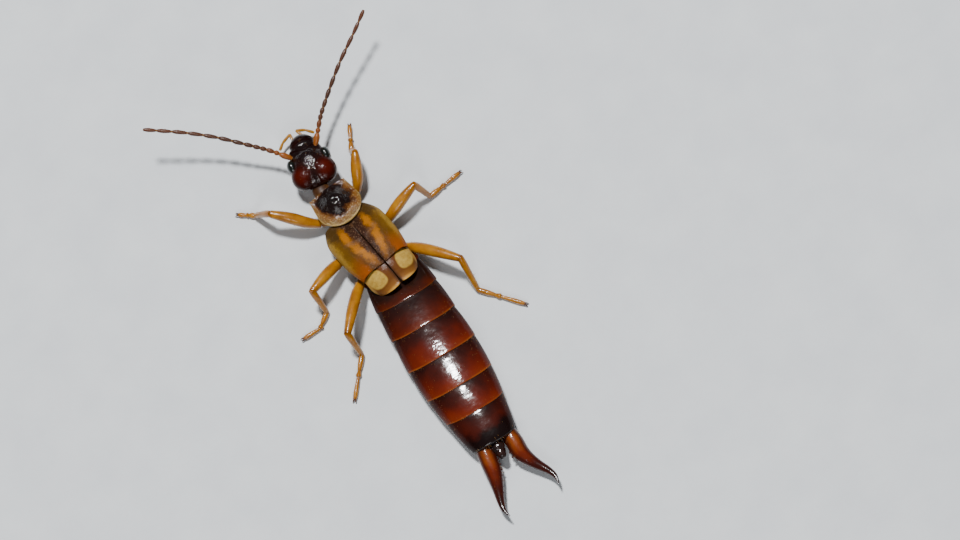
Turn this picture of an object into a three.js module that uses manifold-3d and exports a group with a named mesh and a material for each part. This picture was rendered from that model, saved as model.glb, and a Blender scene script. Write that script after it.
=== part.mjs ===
// A small winged earwig at its real size, standing as it rests on a floor.
// Millimetres, +Z up. The head points to -Y, the forceps to +Y, and the animal's left side is +X.
import * as THREE from 'three';
import { mergeVertices } from 'three/addons/utils/BufferGeometryUtils.js';
import Module from 'manifold-3d';

const wasm = await Module();
wasm.setup();

// Clearances between neighbouring pieces, and the smallest facet width worth keeping
const GAP = 0.2;
const EYE_GAP = 0.1;
const FACET = 0.012;
const FLOOR = 0;

// The three tagmata do not lie in one line: each has its own place and turn
const HEAD_PLACE = { x: 0.6, y: -4.45, turn: -7.5 };
const PRONOTUM_PLACE = { x: 0.53, y: -2.65, turn: 6.4 };
const THORAX_PLACE = { x: 0.19, y: 0, turn: 9.5 };
const ABDOMEN_X = 0.14;

// Head
const HEAD = { length: 1.9, halfWidth: 0.68, top: 1.2, bottom: 0.36, sides: 28 };
const LOBE = { x: 0.33, y: 0.33, z: 0.78, halfWidth: 0.43, halfLength: 0.49, halfHeight: 0.4 };
const NECK = { radius: 0.3, height: 0.72, end: 0.92 };
const EYE = { x: 0.59, y: -0.13, z: 0.86, across: 0.14, along: 0.21, tall: 0.2 };
const MOUTH_LINE = { height: 0.62, depth: 0.1, thickness: 0.05 };
const PALP_RADIUS = 0.1;

// Pronotum and the prothorax under it
const PRONOTUM = { length: 1.42, halfWidth: 0.77, crown: 1.42, rim: 1.07, rimThickness: 0.24 };
const DOME = { y: -0.12, halfWidth: 0.56, halfLength: 0.56, depth: 0.05 };
const PROTHORAX = { halfWidth: 0.42, bottom: 0.3, sides: 20 };

// Middle and rear thorax, wing cases and folded wing tips
const THORAX = { front: -1.82, rear: -0.12, halfWidth: 0.6, bottom: 0.28, top: 1.02 };
const ELYTRON = { front: -2.32, rear: 0, halfWidth: 1.03, crown: 1.62, edge: 0.95, thickness: 0.34 };
const SQUAMA = { front: 0.16, rear: 0.82, halfWidth: 0.84, crown: 1.5, thickness: 0.3 };
const SUTURE_GAP = 0.14;

// Abdomen: where each back plate ends, and its half width there
const PLATE_ENDS = [0.35, 1.3, 2.4, 3.6, 4.75, 5.74, 6.92];
const PLATE_HALF_WIDTHS = [1.04, 1.13, 1.19, 1.25, 1.2, 1.06, 0.82];
const PLATE_TOPS = [0.86, 1.08, 1.2, 1.26, 1.24, 1.16, 1.0];
const PLATE_STEP = 0.055;
const ABDOMEN = { front: 0.02, frontHalfWidth: 0.72, frontTop: 0.78, shoulder: 0.52, sides: 30 };
const BELLY = { y: 4.3, reach: 4, rise: 0.22, sink: 0.02 };
const PLATE_BULGE = 0.03;

// Forceps and the knob between them
const FORCEPS_RADII = [0.29, 0.29, 0.2, 0.13, 0.04];
const FORCEPS_SIDES = 10;
const PYGIDIUM = { x: 0.16, y: 7.27, z: 0.6, halfWidth: 0.15, halfLength: 0.16, halfHeight: 0.17 };

// Feelers: the share of the length that each piece takes, from the long first one to the tip
const ANTENNA_SHARES = [2.6, 1, 1.6, 1.2, 1.4, 1.8, 2.3, 2.7, 2.9, 3, 3, 2.9, 2.6];
const ANTENNA = { baseRadius: 0.26, tipRadius: 0.15, waist: 0.76, sides: 8, tipShare: 0.35 };

// Legs
const LEG = { femur: 0.27, tibia: 0.25, tarsus: 0.2, claw: 0.09, sides: 8, rootHeight: 0.5 };
const HIP = { reach: 0.12, drop: 0.02 };
const JOINT = { sides: 12, rows: 8, kneeRadius: 0.255 };
const LEG_BOW = 0.06;
const TARSUS_HEIGHT = 0.15;
const CLAW = { spread: 22, root: 0.06, reach: 0.22, tipHeight: 0.06 };

const COLOURS = {
  blackRed: 0x2a0806,
  eye: 0x0b0e08,
  feeler: 0x4a2412,
  tan: 0x8c6a3e,
  brown: 0x7a4a16,
  ochre: 0xc9952f,
  amber: 0xc8891c,
  redBrown: 0x5a120c,
  forceps: 0x6e1c0c,
  underside: 0x7c4f1c,
};

const UP = new THREE.Vector3(0, 0, 1);

function toSolid(geometry) {
  const bare = geometry.clone();
  bare.deleteAttribute('normal');
  bare.deleteAttribute('uv');
  const merged = mergeVertices(bare, 1e-5);
  const mesh = new wasm.Mesh({
    numProp: 3,
    vertProperties: new Float32Array(merged.attributes.position.array),
    triVerts: new Uint32Array(merged.index.array),
  });
  return new wasm.Manifold(mesh);
}

function toGeometry(solid) {
  const mesh = solid.getMesh();
  const geometry = new THREE.BufferGeometry();
  geometry.setAttribute('position', new THREE.BufferAttribute(mesh.vertProperties, 3));
  geometry.setIndex(new THREE.BufferAttribute(mesh.triVerts, 1));
  return geometry;
}

// Joins overlapping pieces into one closed body and drops whatever does not hang together with it
function fuse(pieces, cutters = []) {
  let whole = toSolid(pieces[0]);
  for (const piece of pieces.slice(1)) {
    whole = whole.add(toSolid(piece));
  }
  for (const cutter of cutters) {
    whole = whole.subtract(toSolid(cutter));
  }
  const bodies = whole.decompose();
  bodies.sort((a, b) => b.volume() - a.volume());
  return toGeometry(bodies[0].simplify(FACET));
}

// A closed body through a row of rings. Each ring has a middle, a sideways and an upward direction,
// its half width, its reach above and below the middle, and a fullness: 1 for an ellipse, less for
// a boxier outline.
function ringBody(rings, sides) {
  const rows = rings.length + 2;
  const profile = [];
  for (let row = 0; row < rows; row += 1) {
    const onAxis = row === 0 || row === rows - 1;
    profile.push(new THREE.Vector2(onAxis ? 0 : 1, row));
  }
  const geometry = new THREE.LatheGeometry(profile, sides);
  const position = geometry.attributes.position;
  const point = new THREE.Vector3();
  for (let k = 0; k < position.count; k += 1) {
    const row = k % rows;
    const ring = rings[THREE.MathUtils.clamp(row - 1, 0, rings.length - 1)];
    const angle = ((Math.floor(k / rows) % sides) / sides) * 2 * Math.PI;
    const open = row === 0 || row === rows - 1 ? 0 : 1;
    const fullness = ring.fullness ?? 1;
    const across = Math.sign(Math.cos(angle)) * Math.abs(Math.cos(angle)) ** fullness;
    const upward = Math.sign(Math.sin(angle)) * Math.abs(Math.sin(angle)) ** fullness;
    const reach = upward > 0 ? ring.above : ring.below;
    point.copy(ring.middle);
    point.addScaledVector(ring.side, open * across * ring.halfWidth);
    point.addScaledVector(ring.up, open * upward * reach);
    position.setXYZ(k, point.x, point.y, point.z);
  }
  return geometry;
}

// A round limb along a smooth curve, its radius given by a function of the share of the length
function limb(points, radiusAt, steps, sides, flatness = 1) {
  const curve = new THREE.CatmullRomCurve3(points.map((p) => new THREE.Vector3(...p)));
  const rings = [];
  for (let i = 0; i <= steps; i += 1) {
    const share = i / steps;
    const along = curve.getTangentAt(share);
    const side = new THREE.Vector3().crossVectors(UP, along).normalize();
    const up = new THREE.Vector3().crossVectors(along, side).normalize();
    const radius = radiusAt(share);
    const middle = curve.getPointAt(share);
    rings.push({ middle, side, up, halfWidth: radius * flatness, above: radius, below: radius });
  }
  return ringBody(rings, sides);
}

// A body along Y from level sections, each with y, halfWidth, top, bottom, and x if off the middle
function sectionBody(sections, sides, fullness = 1) {
  const rings = sections.map((s) => {
    const height = s.shoulder ?? (s.top + s.bottom) / 2;
    return {
      middle: new THREE.Vector3(s.x ?? 0, s.y, height),
      side: new THREE.Vector3(-1, 0, 0),
      up: UP,
      halfWidth: s.halfWidth,
      above: s.top - height,
      below: height - s.bottom,
      fullness,
    };
  });
  return ringBody(rings, sides);
}

function ellipsoid(x, y, z, halfX, halfY, halfZ, around = 20, rows = 12) {
  const ball = new THREE.SphereGeometry(1, around, rows);
  ball.scale(halfX, halfY, halfZ);
  ball.translate(x, y, z);
  return ball;
}

function block(minX, maxX, minY, maxY, minZ, maxZ) {
  const box = new THREE.BoxGeometry(maxX - minX, maxY - minY, maxZ - minZ);
  box.translate((minX + maxX) / 2, (minY + maxY) / 2, (minZ + maxZ) / 2);
  return box;
}

function belowFloor() {
  return block(-10, 10, -12, 12, -3, FLOOR);
}

function wave(share) {
  return Math.sin(Math.PI * THREE.MathUtils.clamp(share, 0, 1));
}

function sideFrame(place) {
  const frame = new THREE.Group();
  frame.position.set(place.x, place.y, 0);
  frame.rotation.z = THREE.MathUtils.degToRad(place.turn);
  frame.updateMatrixWorld(true);
  return frame;
}

const earwig = new THREE.Group();
const headFrame = sideFrame(HEAD_PLACE);
const pronotumFrame = sideFrame(PRONOTUM_PLACE);
const thoraxFrame = sideFrame(THORAX_PLACE);
const bodyFrame = sideFrame({ x: 0, y: 0, turn: 0 });
earwig.add(headFrame, pronotumFrame, thoraxFrame, bodyFrame);

function addNode(frame, name, geometry, colour, roughness) {
  const material = new THREE.MeshStandardMaterial({ color: colour, roughness, metalness: 0 });
  geometry.computeVertexNormals();
  const mesh = new THREE.Mesh(geometry, material);
  mesh.name = name;
  frame.add(mesh);
}

// Head: a wedge that widens back to two round lobes, with the upper lip and the jaws in front
function headGeometry() {
  const half = HEAD.length / 2;
  const wedge = sectionBody([
    { y: -half, halfWidth: 0.16, top: 0.78, bottom: 0.5 },
    { y: -half + 0.06, halfWidth: 0.3, top: 0.86, bottom: 0.44 },
    { y: -half + 0.28, halfWidth: 0.4, top: 0.96, bottom: 0.38 },
    { y: -half + 0.55, halfWidth: 0.5, top: 1.08, bottom: HEAD.bottom },
    { y: -0.1, halfWidth: HEAD.halfWidth, top: HEAD.top, bottom: HEAD.bottom },
    { y: 0.3, halfWidth: 0.66, top: HEAD.top - 0.02, bottom: HEAD.bottom },
    { y: 0.6, halfWidth: 0.45, top: 1.1, bottom: 0.42 },
    { y: 0.76, halfWidth: 0.25, top: 1, bottom: 0.5 },
  ], HEAD.sides);
  const lobes = [-1, 1].map((s) => (
    ellipsoid(s * LOBE.x, LOBE.y, LOBE.z, LOBE.halfWidth, LOBE.halfLength, LOBE.halfHeight)
  ));
  const neck = limb(
    [[0, 0.4, NECK.height], [0, 0.7, NECK.height], [0, NECK.end, NECK.height]],
    () => NECK.radius, 3, 14,
  );
  const mouthCut = block(-1, 1, -half - 0.2, -half + MOUTH_LINE.depth, MOUTH_LINE.height,
    MOUTH_LINE.height + MOUTH_LINE.thickness);
  const sockets = [-1, 1].map((s) => (
    ellipsoid(s * EYE.x, EYE.y, EYE.z, EYE.across + EYE_GAP, EYE.along + EYE_GAP,
      EYE.tall + EYE_GAP, 16, 10)
  ));
  const palps = [-1, 1].flatMap((s) => [
    limb([[s * 0.2, -0.7, 0.5], [s * 0.34, -1.0, 0.5], [s * 0.52, -1.02, 0.38], [s * 0.66, -0.92, 0.3]],
      (t) => PALP_RADIUS * (1 - 0.45 * t), 9, 8),
    limb([[s * 0.08, -0.75, 0.47], [s * 0.12, -1.0, 0.42], [s * 0.16, -1.1, 0.34]],
      (t) => PALP_RADIUS * (0.9 - 0.4 * t), 5, 8),
  ]);
  return fuse([wedge, ...lobes, neck, ...palps], [mouthCut, ...sockets]);
}

addNode(headFrame, 'head', headGeometry(), COLOURS.blackRed, 0.2);
for (const [side, s] of [['left', 1], ['right', -1]]) {
  const eye = ellipsoid(s * EYE.x, EYE.y, EYE.z, EYE.across, EYE.along, EYE.tall, 14, 10);
  addNode(headFrame, `eye_${side}`, eye, COLOURS.eye, 0.25);
}

// A feeler: one row of beads, each with a waist where it meets the next
function antennaGeometry(points) {
  const total = ANTENNA_SHARES.reduce((sum, share) => sum + share, 0);
  const curve = new THREE.CatmullRomCurve3(points.map((p) => new THREE.Vector3(...p)));
  const radiusAt = (share) => {
    const taper = THREE.MathUtils.smoothstep(share, ANTENNA.tipShare, 1);
    return THREE.MathUtils.lerp(ANTENNA.baseRadius, ANTENNA.tipRadius, taper);
  };
  const stops = [];
  let start = 0;
  for (const share of ANTENNA_SHARES) {
    const length = share / total;
    const first = stops.length === 0;
    stops.push({ at: start, size: first ? 0.9 : ANTENNA.waist });
    stops.push({ at: start + length * 0.3, size: 1 });
    stops.push({ at: start + length * 0.75, size: 1 });
    start += length;
  }
  stops.push({ at: 1, size: 0.5 });
  const rings = stops.map((stop) => {
    const along = curve.getTangentAt(stop.at);
    const side = new THREE.Vector3().crossVectors(UP, along).normalize();
    const up = new THREE.Vector3().crossVectors(along, side).normalize();
    const radius = radiusAt(stop.at) * stop.size;
    return { middle: curve.getPointAt(stop.at), side, up, halfWidth: radius, above: radius, below: radius };
  });
  return ringBody(rings, ANTENNA.sides);
}

const ANTENNAE = {
  left: [[1.22, -5.08, 1.03], [1.37, -5.26, 1.08], [1.62, -5.53, 1.15], [2.14, -6.02, 1.3],
    [2.79, -6.63, 1.45], [3.6, -7.25, 1.65], [4.7, -7.99, 1.85]],
  right: [[-0.05, -5.06, 1.04], [-0.18, -5.2, 1.1], [-0.53, -5.58, 1.2], [-1.21, -6.15, 1.35],
    [-1.95, -6.7, 1.55], [-2.74, -7.21, 1.7], [-3.43, -7.67, 1.9]],
};
for (const side of ['left', 'right']) {
  addNode(bodyFrame, `antenna_${side}`, antennaGeometry(ANTENNAE[side]), COLOURS.feeler, 0.5);
}

// Pronotum: a shield with a broad flat rim round a raised middle, on the narrower prothorax
function pronotumGeometry() {
  const half = PRONOTUM.length / 2;
  const rimTop = PRONOTUM.rim + PRONOTUM.rimThickness / 2;
  const rimBottom = PRONOTUM.rim - PRONOTUM.rimThickness / 2;
  const outline = [
    [-half, 0.78], [-half + 0.08, 0.86], [-0.35, 0.95], [0, 1], [0.25, 0.98], [0.45, 0.88], [0.6, 0.66],
    [0.69, 0.42],
  ];
  const shield = sectionBody(outline.map(([y, share]) => ({
    y,
    halfWidth: share * PRONOTUM.halfWidth,
    top: rimTop,
    bottom: rimBottom,
  })), 24, 0.45);
  const domeMiddle = PRONOTUM.rim - DOME.depth;
  const dome = ellipsoid(0, DOME.y, domeMiddle, DOME.halfWidth, DOME.halfLength,
    PRONOTUM.crown - domeMiddle);
  const trunk = sectionBody([
    { y: -half + 0.06, halfWidth: 0.3, top: rimTop, bottom: 0.42 },
    { y: -0.4, halfWidth: PROTHORAX.halfWidth, top: rimTop, bottom: PROTHORAX.bottom },
    { y: 0.35, halfWidth: PROTHORAX.halfWidth, top: rimTop, bottom: PROTHORAX.bottom },
    { y: 0.52, halfWidth: 0.34, top: rimTop, bottom: 0.38 },
  ], PROTHORAX.sides, 0.7);
  return fuse([shield, dome, trunk]);
}

addNode(pronotumFrame, 'pronotum', pronotumGeometry(), COLOURS.tan, 0.35);

// Middle and rear thorax under the wing cases
function thoraxGeometry() {
  return sectionBody([
    { y: THORAX.front, halfWidth: 0.42, top: 0.94, bottom: 0.36 },
    { y: THORAX.front + 0.15, halfWidth: 0.54, top: THORAX.top, bottom: THORAX.bottom },
    { y: -0.9, halfWidth: THORAX.halfWidth, top: THORAX.top, bottom: THORAX.bottom - 0.02 },
    { y: -0.35, halfWidth: THORAX.halfWidth, top: 0.98, bottom: THORAX.bottom },
    { y: THORAX.rear, halfWidth: 0.52, top: 0.9, bottom: 0.34 },
  ], 22, 0.7);
}

addNode(thoraxFrame, 'thorax', thoraxGeometry(), COLOURS.underside, 0.4);

// A plate that arches from the middle line down to its outer edge, s = 1 left and -1 right.
// Its stations give y, the inner and outer x, the height at the middle line and at the edge.
function archedPlate(stations, s, thickness, across = 8) {
  const rings = stations.map((st) => ({ ...st }));
  const rows = rings.length + 2;
  const columns = 2 * (across + 1);
  const profile = [];
  for (let row = 0; row < rows; row += 1) {
    profile.push(new THREE.Vector2(row === 0 || row === rows - 1 ? 0 : 1, row));
  }
  const geometry = new THREE.LatheGeometry(profile, columns);
  const position = geometry.attributes.position;
  for (let k = 0; k < position.count; k += 1) {
    const row = k % rows;
    const st = rings[THREE.MathUtils.clamp(row - 1, 0, rings.length - 1)];
    const column = Math.floor(k / rows) % columns;
    const upper = column <= across;
    const share = (upper ? column : columns - 1 - column) / across;
    const onAxis = row === 0 || row === rows - 1;
    const shareUsed = onAxis ? 0.5 : share;
    const depth = onAxis ? 0.5 : Number(!upper);
    const x = THREE.MathUtils.lerp(st.inner, st.outer, shareUsed);
    const drop = shareUsed ** 2.2;
    const top = THREE.MathUtils.lerp(st.crown, st.edge, drop);
    position.setXYZ(k, s * x, st.y, top - depth * thickness);
  }
  if (s < 0) {
    geometry.index.array.reverse();
  }
  return geometry;
}

// The space that the pronotum needs in front of the wing cases
function pronotumClearance() {
  const clear = new THREE.CylinderGeometry(1, 1, 4, 40);
  clear.rotateX(Math.PI / 2);
  clear.scale(PRONOTUM.halfWidth + GAP + 0.02, PRONOTUM.length / 2 + GAP - 0.02, 1);
  clear.rotateZ(pronotumFrame.rotation.z);
  clear.translate(pronotumFrame.position.x, pronotumFrame.position.y, 0);
  clear.applyMatrix4(thoraxFrame.matrixWorld.clone().invert());
  return clear;
}

function elytronGeometry(s) {
  const { front, rear, halfWidth, crown, edge } = ELYTRON;
  const inner = SUTURE_GAP / 2;
  const stations = [
    { y: front, inner, outer: 0.78, crown: crown - 0.12, edge: edge + 0.08 },
    { y: front + 0.12, inner, outer: 0.86, crown: crown - 0.08, edge: edge + 0.03 },
    { y: front + 0.5, inner, outer: 0.98, crown: crown - 0.02, edge },
    { y: front + 1.0, inner, outer: halfWidth, crown, edge },
    { y: front + 1.6, inner, outer: halfWidth, crown, edge },
    { y: rear - 0.3, inner, outer: 0.98, crown: crown - 0.02, edge: edge + 0.04 },
    { y: rear, inner, outer: 0.9, crown: crown - 0.06, edge: edge + 0.12 },
  ];
  return fuse([archedPlate(stations, s, ELYTRON.thickness)], [pronotumClearance()]);
}

function squamaGeometry(s) {
  const { front, rear, halfWidth, crown } = SQUAMA;
  const inner = SUTURE_GAP / 2;
  const stations = [
    { y: front, inner, outer: halfWidth, crown, edge: 1.2 },
    { y: front + 0.25, inner, outer: halfWidth - 0.02, crown: crown - 0.02, edge: 1.22 },
    { y: front + 0.45, inner: inner + 0.02, outer: 0.72, crown: crown - 0.05, edge: 1.25 },
    { y: rear - 0.06, inner: inner + 0.08, outer: 0.55, crown: crown - 0.1, edge: 1.3 },
    { y: rear, inner: inner + 0.16, outer: 0.42, crown: crown - 0.14, edge: 1.34 },
  ];
  return archedPlate(stations, s, SQUAMA.thickness);
}

for (const [side, s] of [['left', 1], ['right', -1]]) {
  addNode(thoraxFrame, `elytron_${side}`, elytronGeometry(s), COLOURS.brown, 0.35);
  addNode(thoraxFrame, `wing_tip_${side}`, squamaGeometry(s), COLOURS.ochre, 0.4);
}

// Abdomen: each back plate widens a little towards its rear edge and steps down to the next
function abdomenGeometry() {
  const sections = [];
  let from = ABDOMEN.front;
  let width = ABDOMEN.frontHalfWidth;
  let top = ABDOMEN.frontTop;
  PLATE_ENDS.forEach((end, i) => {
    const nextWidth = PLATE_HALF_WIDTHS[i];
    const nextTop = PLATE_TOPS[i];
    const steps = end - from > 0.5 ? [0.04, 0.3, 0.65, 0.97] : [0.04, 0.97];
    if (end === PLATE_ENDS.at(-1)) {
      steps.push(1);
    }
    for (const share of steps) {
      const bulge = PLATE_BULGE * wave(share) + PLATE_STEP * share;
      const y = THREE.MathUtils.lerp(from, end, share);
      const belly = BELLY.rise * ((y - BELLY.y) / BELLY.reach) ** 2;
      sections.push({
        x: ABDOMEN_X,
        y,
        halfWidth: THREE.MathUtils.lerp(width, nextWidth, share) - PLATE_STEP + bulge,
        top: THREE.MathUtils.lerp(top, nextTop, share) - PLATE_STEP + bulge,
        bottom: belly - BELLY.sink,
        shoulder: ABDOMEN.shoulder,
      });
    }
    from = end;
    width = nextWidth;
    top = nextTop;
  });
  const trunk = sectionBody(sections, ABDOMEN.sides, 0.86);
  return fuse([trunk], [belowFloor()]);
}

addNode(bodyFrame, 'abdomen', abdomenGeometry(), COLOURS.redBrown, 0.2);

const pygidium = ellipsoid(PYGIDIUM.x, PYGIDIUM.y, PYGIDIUM.z, PYGIDIUM.halfWidth,
  PYGIDIUM.halfLength, PYGIDIUM.halfHeight, 14, 10);
addNode(bodyFrame, 'pygidium', pygidium, COLOURS.eye, 0.2);

// Forceps: two tapering, slightly spread arms whose tips turn towards each other
const FORCEPS = {
  left: [[0.64, 7.12, 0.54], [0.69, 7.6, 0.47], [0.85, 8.15, 0.4], [0.99, 8.68, 0.42],
    [0.98, 9.13, 0.5]],
  right: [[-0.42, 7.12, 0.54], [-0.42, 7.5, 0.47], [-0.61, 8.02, 0.4], [-0.9, 8.58, 0.42],
    [-0.93, 9.02, 0.5]],
};
for (const side of ['left', 'right']) {
  const radiusAt = (share) => {
    const place = share * (FORCEPS_RADII.length - 1);
    const i = Math.min(Math.floor(place), FORCEPS_RADII.length - 2);
    return THREE.MathUtils.lerp(FORCEPS_RADII[i], FORCEPS_RADII[i + 1], place - i);
  };
  const arm = limb(FORCEPS[side], radiusAt, 12, FORCEPS_SIDES);
  addNode(bodyFrame, `forceps_${side}`, arm, COLOURS.forceps, 0.25);
}

// Legs: each grows from a segment's side, on its own frame, with its joints in the body's frame
const LEGS = {
  front_left: { frame: pronotumFrame, s: 1, y: -0.05, wall: PROTHORAX.halfWidth,
    knee: [2.56, -3.56, 1.0], ankle: [2.98, -4.1, TARSUS_HEIGHT], toe: [3.4, -4.4, TARSUS_HEIGHT] },
  front_right: { frame: pronotumFrame, s: -1, y: -0.18, wall: PROTHORAX.halfWidth,
    knee: [-0.84, -3.88, 1.0], ankle: [-0.8, -4.33, TARSUS_HEIGHT], toe: [-1.15, -5.1, TARSUS_HEIGHT] },
  middle_left: { frame: thoraxFrame, s: 1, y: -1.35, wall: THORAX.halfWidth,
    knee: [2.68, -0.56, 1.0], ankle: [2.6, 0, TARSUS_HEIGHT], toe: [3.64, 0.36, TARSUS_HEIGHT],
    bend: [3.05, 0.34] },
  middle_right: { frame: thoraxFrame, s: -1, y: -1.35, wall: THORAX.halfWidth,
    knee: [-1.9, -1.92, 1.0], ankle: [-2.2, -1.62, TARSUS_HEIGHT], toe: [-3.38, -1.82, TARSUS_HEIGHT] },
  hind_left: { frame: thoraxFrame, s: 1, y: -0.42, wall: THORAX.halfWidth,
    knee: [2.42, 1.3, 1.05], ankle: [2.34, 1.84, TARSUS_HEIGHT], toe: [3.26, 2.98, TARSUS_HEIGHT] },
  hind_right: { frame: thoraxFrame, s: -1, y: -0.42, wall: THORAX.halfWidth,
    knee: [-1.95, 1.05, 1.05], ankle: [-1.95, 1.94, TARSUS_HEIGHT], toe: [-2.98, 3.12, TARSUS_HEIGHT] },
};

function legGeometry(leg) {
  const root = leg.frame.localToWorld(
    new THREE.Vector3(leg.s * (leg.wall + GAP + LEG.femur), leg.y, LEG.rootHeight),
  );
  const hip = leg.frame.localToWorld(
    new THREE.Vector3(leg.s * (leg.wall + GAP + LEG.femur + HIP.reach), leg.y,
      LEG.rootHeight - HIP.drop),
  );
  const knee = new THREE.Vector3(...leg.knee);
  const ankle = new THREE.Vector3(...leg.ankle);
  const toe = new THREE.Vector3(...leg.toe);
  const middle = leg.bend
    ? new THREE.Vector3(leg.bend[0], leg.bend[1], TARSUS_HEIGHT)
    : ankle.clone().lerp(toe, 0.5);
  const femurMiddle = hip.clone().lerp(knee, 0.55).addScaledVector(UP, LEG_BOW);
  const tibiaMiddle = knee.clone().lerp(ankle, 0.5).addScaledVector(UP, LEG_BOW);
  const list = (...points) => points.map((p) => p.toArray());
  const ball = (at, radius) => (
    ellipsoid(at.x, at.y, at.z, radius, radius, radius, JOINT.sides, JOINT.rows)
  );
  const femur = limb(list(hip, femurMiddle, knee), (t) => LEG.femur * (0.86 + 0.14 * wave(t)), 8,
    LEG.sides);
  const tibia = limb(list(knee, tibiaMiddle, ankle), (t) => LEG.tibia * (1 - 0.18 * t), 6, LEG.sides);
  const tarsus = limb(list(ankle, middle, toe), (t) => LEG.tarsus * (1 - 0.3 * t), 7, LEG.sides);
  const heading = toe.clone().sub(middle).normalize();
  const claws = [-1, 1].map((turn) => {
    const spread = THREE.MathUtils.degToRad(turn * CLAW.spread);
    const out = heading.clone().applyAxisAngle(UP, spread);
    const start = toe.clone().addScaledVector(out, -CLAW.root);
    const tip = toe.clone().addScaledVector(out, CLAW.reach);
    tip.z = CLAW.tipHeight;
    const halfway = start.clone().lerp(tip, 0.5);
    return limb(list(start, halfway, tip), (t) => LEG.claw * (1 - 0.6 * t), 3, 6);
  });
  const joints = [ball(root, LEG.femur), ball(knee, JOINT.kneeRadius)];
  return fuse([femur, tibia, tarsus, ...joints, ...claws], [belowFloor()]);
}

for (const [name, leg] of Object.entries(LEGS)) {
  addNode(bodyFrame, `leg_${name}`, legGeometry(leg), COLOURS.amber, 0.3);
}

// The origin is the middle of the box round the whole animal, on the floor
const bounds = new THREE.Box3().setFromObject(earwig);
const centre = bounds.getCenter(new THREE.Vector3());
earwig.position.set(-centre.x, -centre.y, -bounds.min.z);
earwig.updateMatrixWorld(true);

export default earwig;
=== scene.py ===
# %% [markdown]
# # A small winged earwig at its real size
#
# This lesson dresses a set of plain solids as a living earwig, about 15 mm long with its forceps.
# The solids give the place and size of every part. Each cell makes one part of the animal over its
# solid, from the head back to the forceps, and then gives it its finish.

# %% Load the solids
import math

import bpy
import numpy as np
from mathutils import Matrix, Vector


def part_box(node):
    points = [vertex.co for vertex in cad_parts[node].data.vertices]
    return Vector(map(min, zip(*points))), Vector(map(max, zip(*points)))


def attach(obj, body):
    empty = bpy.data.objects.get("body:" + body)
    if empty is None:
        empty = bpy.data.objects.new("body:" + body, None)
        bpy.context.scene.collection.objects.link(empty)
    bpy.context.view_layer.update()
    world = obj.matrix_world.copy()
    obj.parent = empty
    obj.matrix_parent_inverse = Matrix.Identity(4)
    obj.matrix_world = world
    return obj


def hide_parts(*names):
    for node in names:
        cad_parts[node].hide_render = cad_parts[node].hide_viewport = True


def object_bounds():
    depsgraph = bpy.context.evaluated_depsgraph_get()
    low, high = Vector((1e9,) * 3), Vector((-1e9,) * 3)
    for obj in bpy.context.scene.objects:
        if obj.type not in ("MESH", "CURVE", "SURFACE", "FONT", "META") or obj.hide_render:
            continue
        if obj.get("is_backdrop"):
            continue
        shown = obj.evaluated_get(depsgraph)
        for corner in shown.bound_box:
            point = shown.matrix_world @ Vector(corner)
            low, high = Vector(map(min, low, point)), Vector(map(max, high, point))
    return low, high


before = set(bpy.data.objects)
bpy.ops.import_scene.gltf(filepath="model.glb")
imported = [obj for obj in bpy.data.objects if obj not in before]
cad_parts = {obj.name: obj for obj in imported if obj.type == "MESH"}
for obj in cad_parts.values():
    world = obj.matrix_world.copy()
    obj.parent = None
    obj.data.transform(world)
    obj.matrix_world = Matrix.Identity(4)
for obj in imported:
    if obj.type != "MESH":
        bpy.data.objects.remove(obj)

CAD_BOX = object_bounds()
print("solids loaded:", len(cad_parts), "nodes")

# %% [markdown]
# Everything is modelled in millimetres, because the animal is so small that its sizes in metres are
# hard to read. A place near the middle of the waist is the zero of the modelling space. The tail lies
# along +Y, the animal's left along +X. When a piece is finished it is scaled to metres and moved onto
# the solids. The move is read from the abdomen's solid, so it stays right if the solids shift.

# %% The modelling space and its three turned frames
MM = 0.001
ABDOMEN_X = 0.14
ABDOMEN_REAR = 6.92

low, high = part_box("abdomen")
SHIFT = Vector(((low.x + high.x) / 2 - ABDOMEN_X * MM, high.y - ABDOMEN_REAR * MM, 0))


def turned(x, y, degrees):
    return Matrix.Translation((x, y, 0)) @ Matrix.Rotation(math.radians(degrees), 4, "Z")


BODY = Matrix.Identity(4)
HEAD = turned(0.6, -4.45, -7.5)
PRONOTUM = turned(0.53, -2.65, 6.4)
THORAX = turned(0.19, 0, 9.5)
print("shift in mm:", [round(v / MM, 3) for v in SHIFT])

# %% [markdown]
# The camera looks down steeply from behind the animal. The threads of a square weave in the picture
# gave its angles: 18.2 degrees from straight down, and rolled by 22.4 degrees. A long lens far away
# keeps the view almost free of perspective, as a macro lens does.

# %% Camera
FRAME_WIDTH_PX = 960
SCALE_PX_PER_MM = 31
FOCAL_PX = 6917
TILT = 18.2
ROLL = -22.4
NEAR_SIDE = 171.4
AIM = (-2.34, 1.36)

distance = FOCAL_PX / SCALE_PX_PER_MM * MM
aim = Vector((AIM[0] * MM, AIM[1] * MM, 0)) + SHIFT
turn = (
    Matrix.Rotation(math.radians(NEAR_SIDE), 4, "Z")
    @ Matrix.Rotation(math.radians(TILT), 4, "X")
)
back = (turn @ Vector((0, 0, 1, 0))).xyz
bpy.ops.object.camera_add()
camera = bpy.context.object
camera.name = "camera_main"
camera.matrix_world = (
    Matrix.Translation(aim + back * distance)
    @ turn
    @ Matrix.Rotation(math.radians(ROLL), 4, "Z")
)
camera.data.sensor_width = 36
camera.data.lens = FOCAL_PX / FRAME_WIDTH_PX * 36
camera.data.clip_start = 0.01
camera.data.clip_end = 5
camera.data.dof.use_dof = False
bpy.context.scene.camera = camera
print("camera", round(distance, 4), "m away, lens", round(camera.data.lens, 1), "mm")

# %% [markdown]
# A pale floor and a pale room stand in for a studio. One softbox above the head side gives the bright
# spots along the back, and a weaker one from the other side opens the shadows.

# %% Floor, room and lamps
FLOOR_SIZE = 1.2
ROOM_COLOUR = (0.86, 0.9, 0.95, 1)
ROOM_STRENGTH = 0.12


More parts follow.
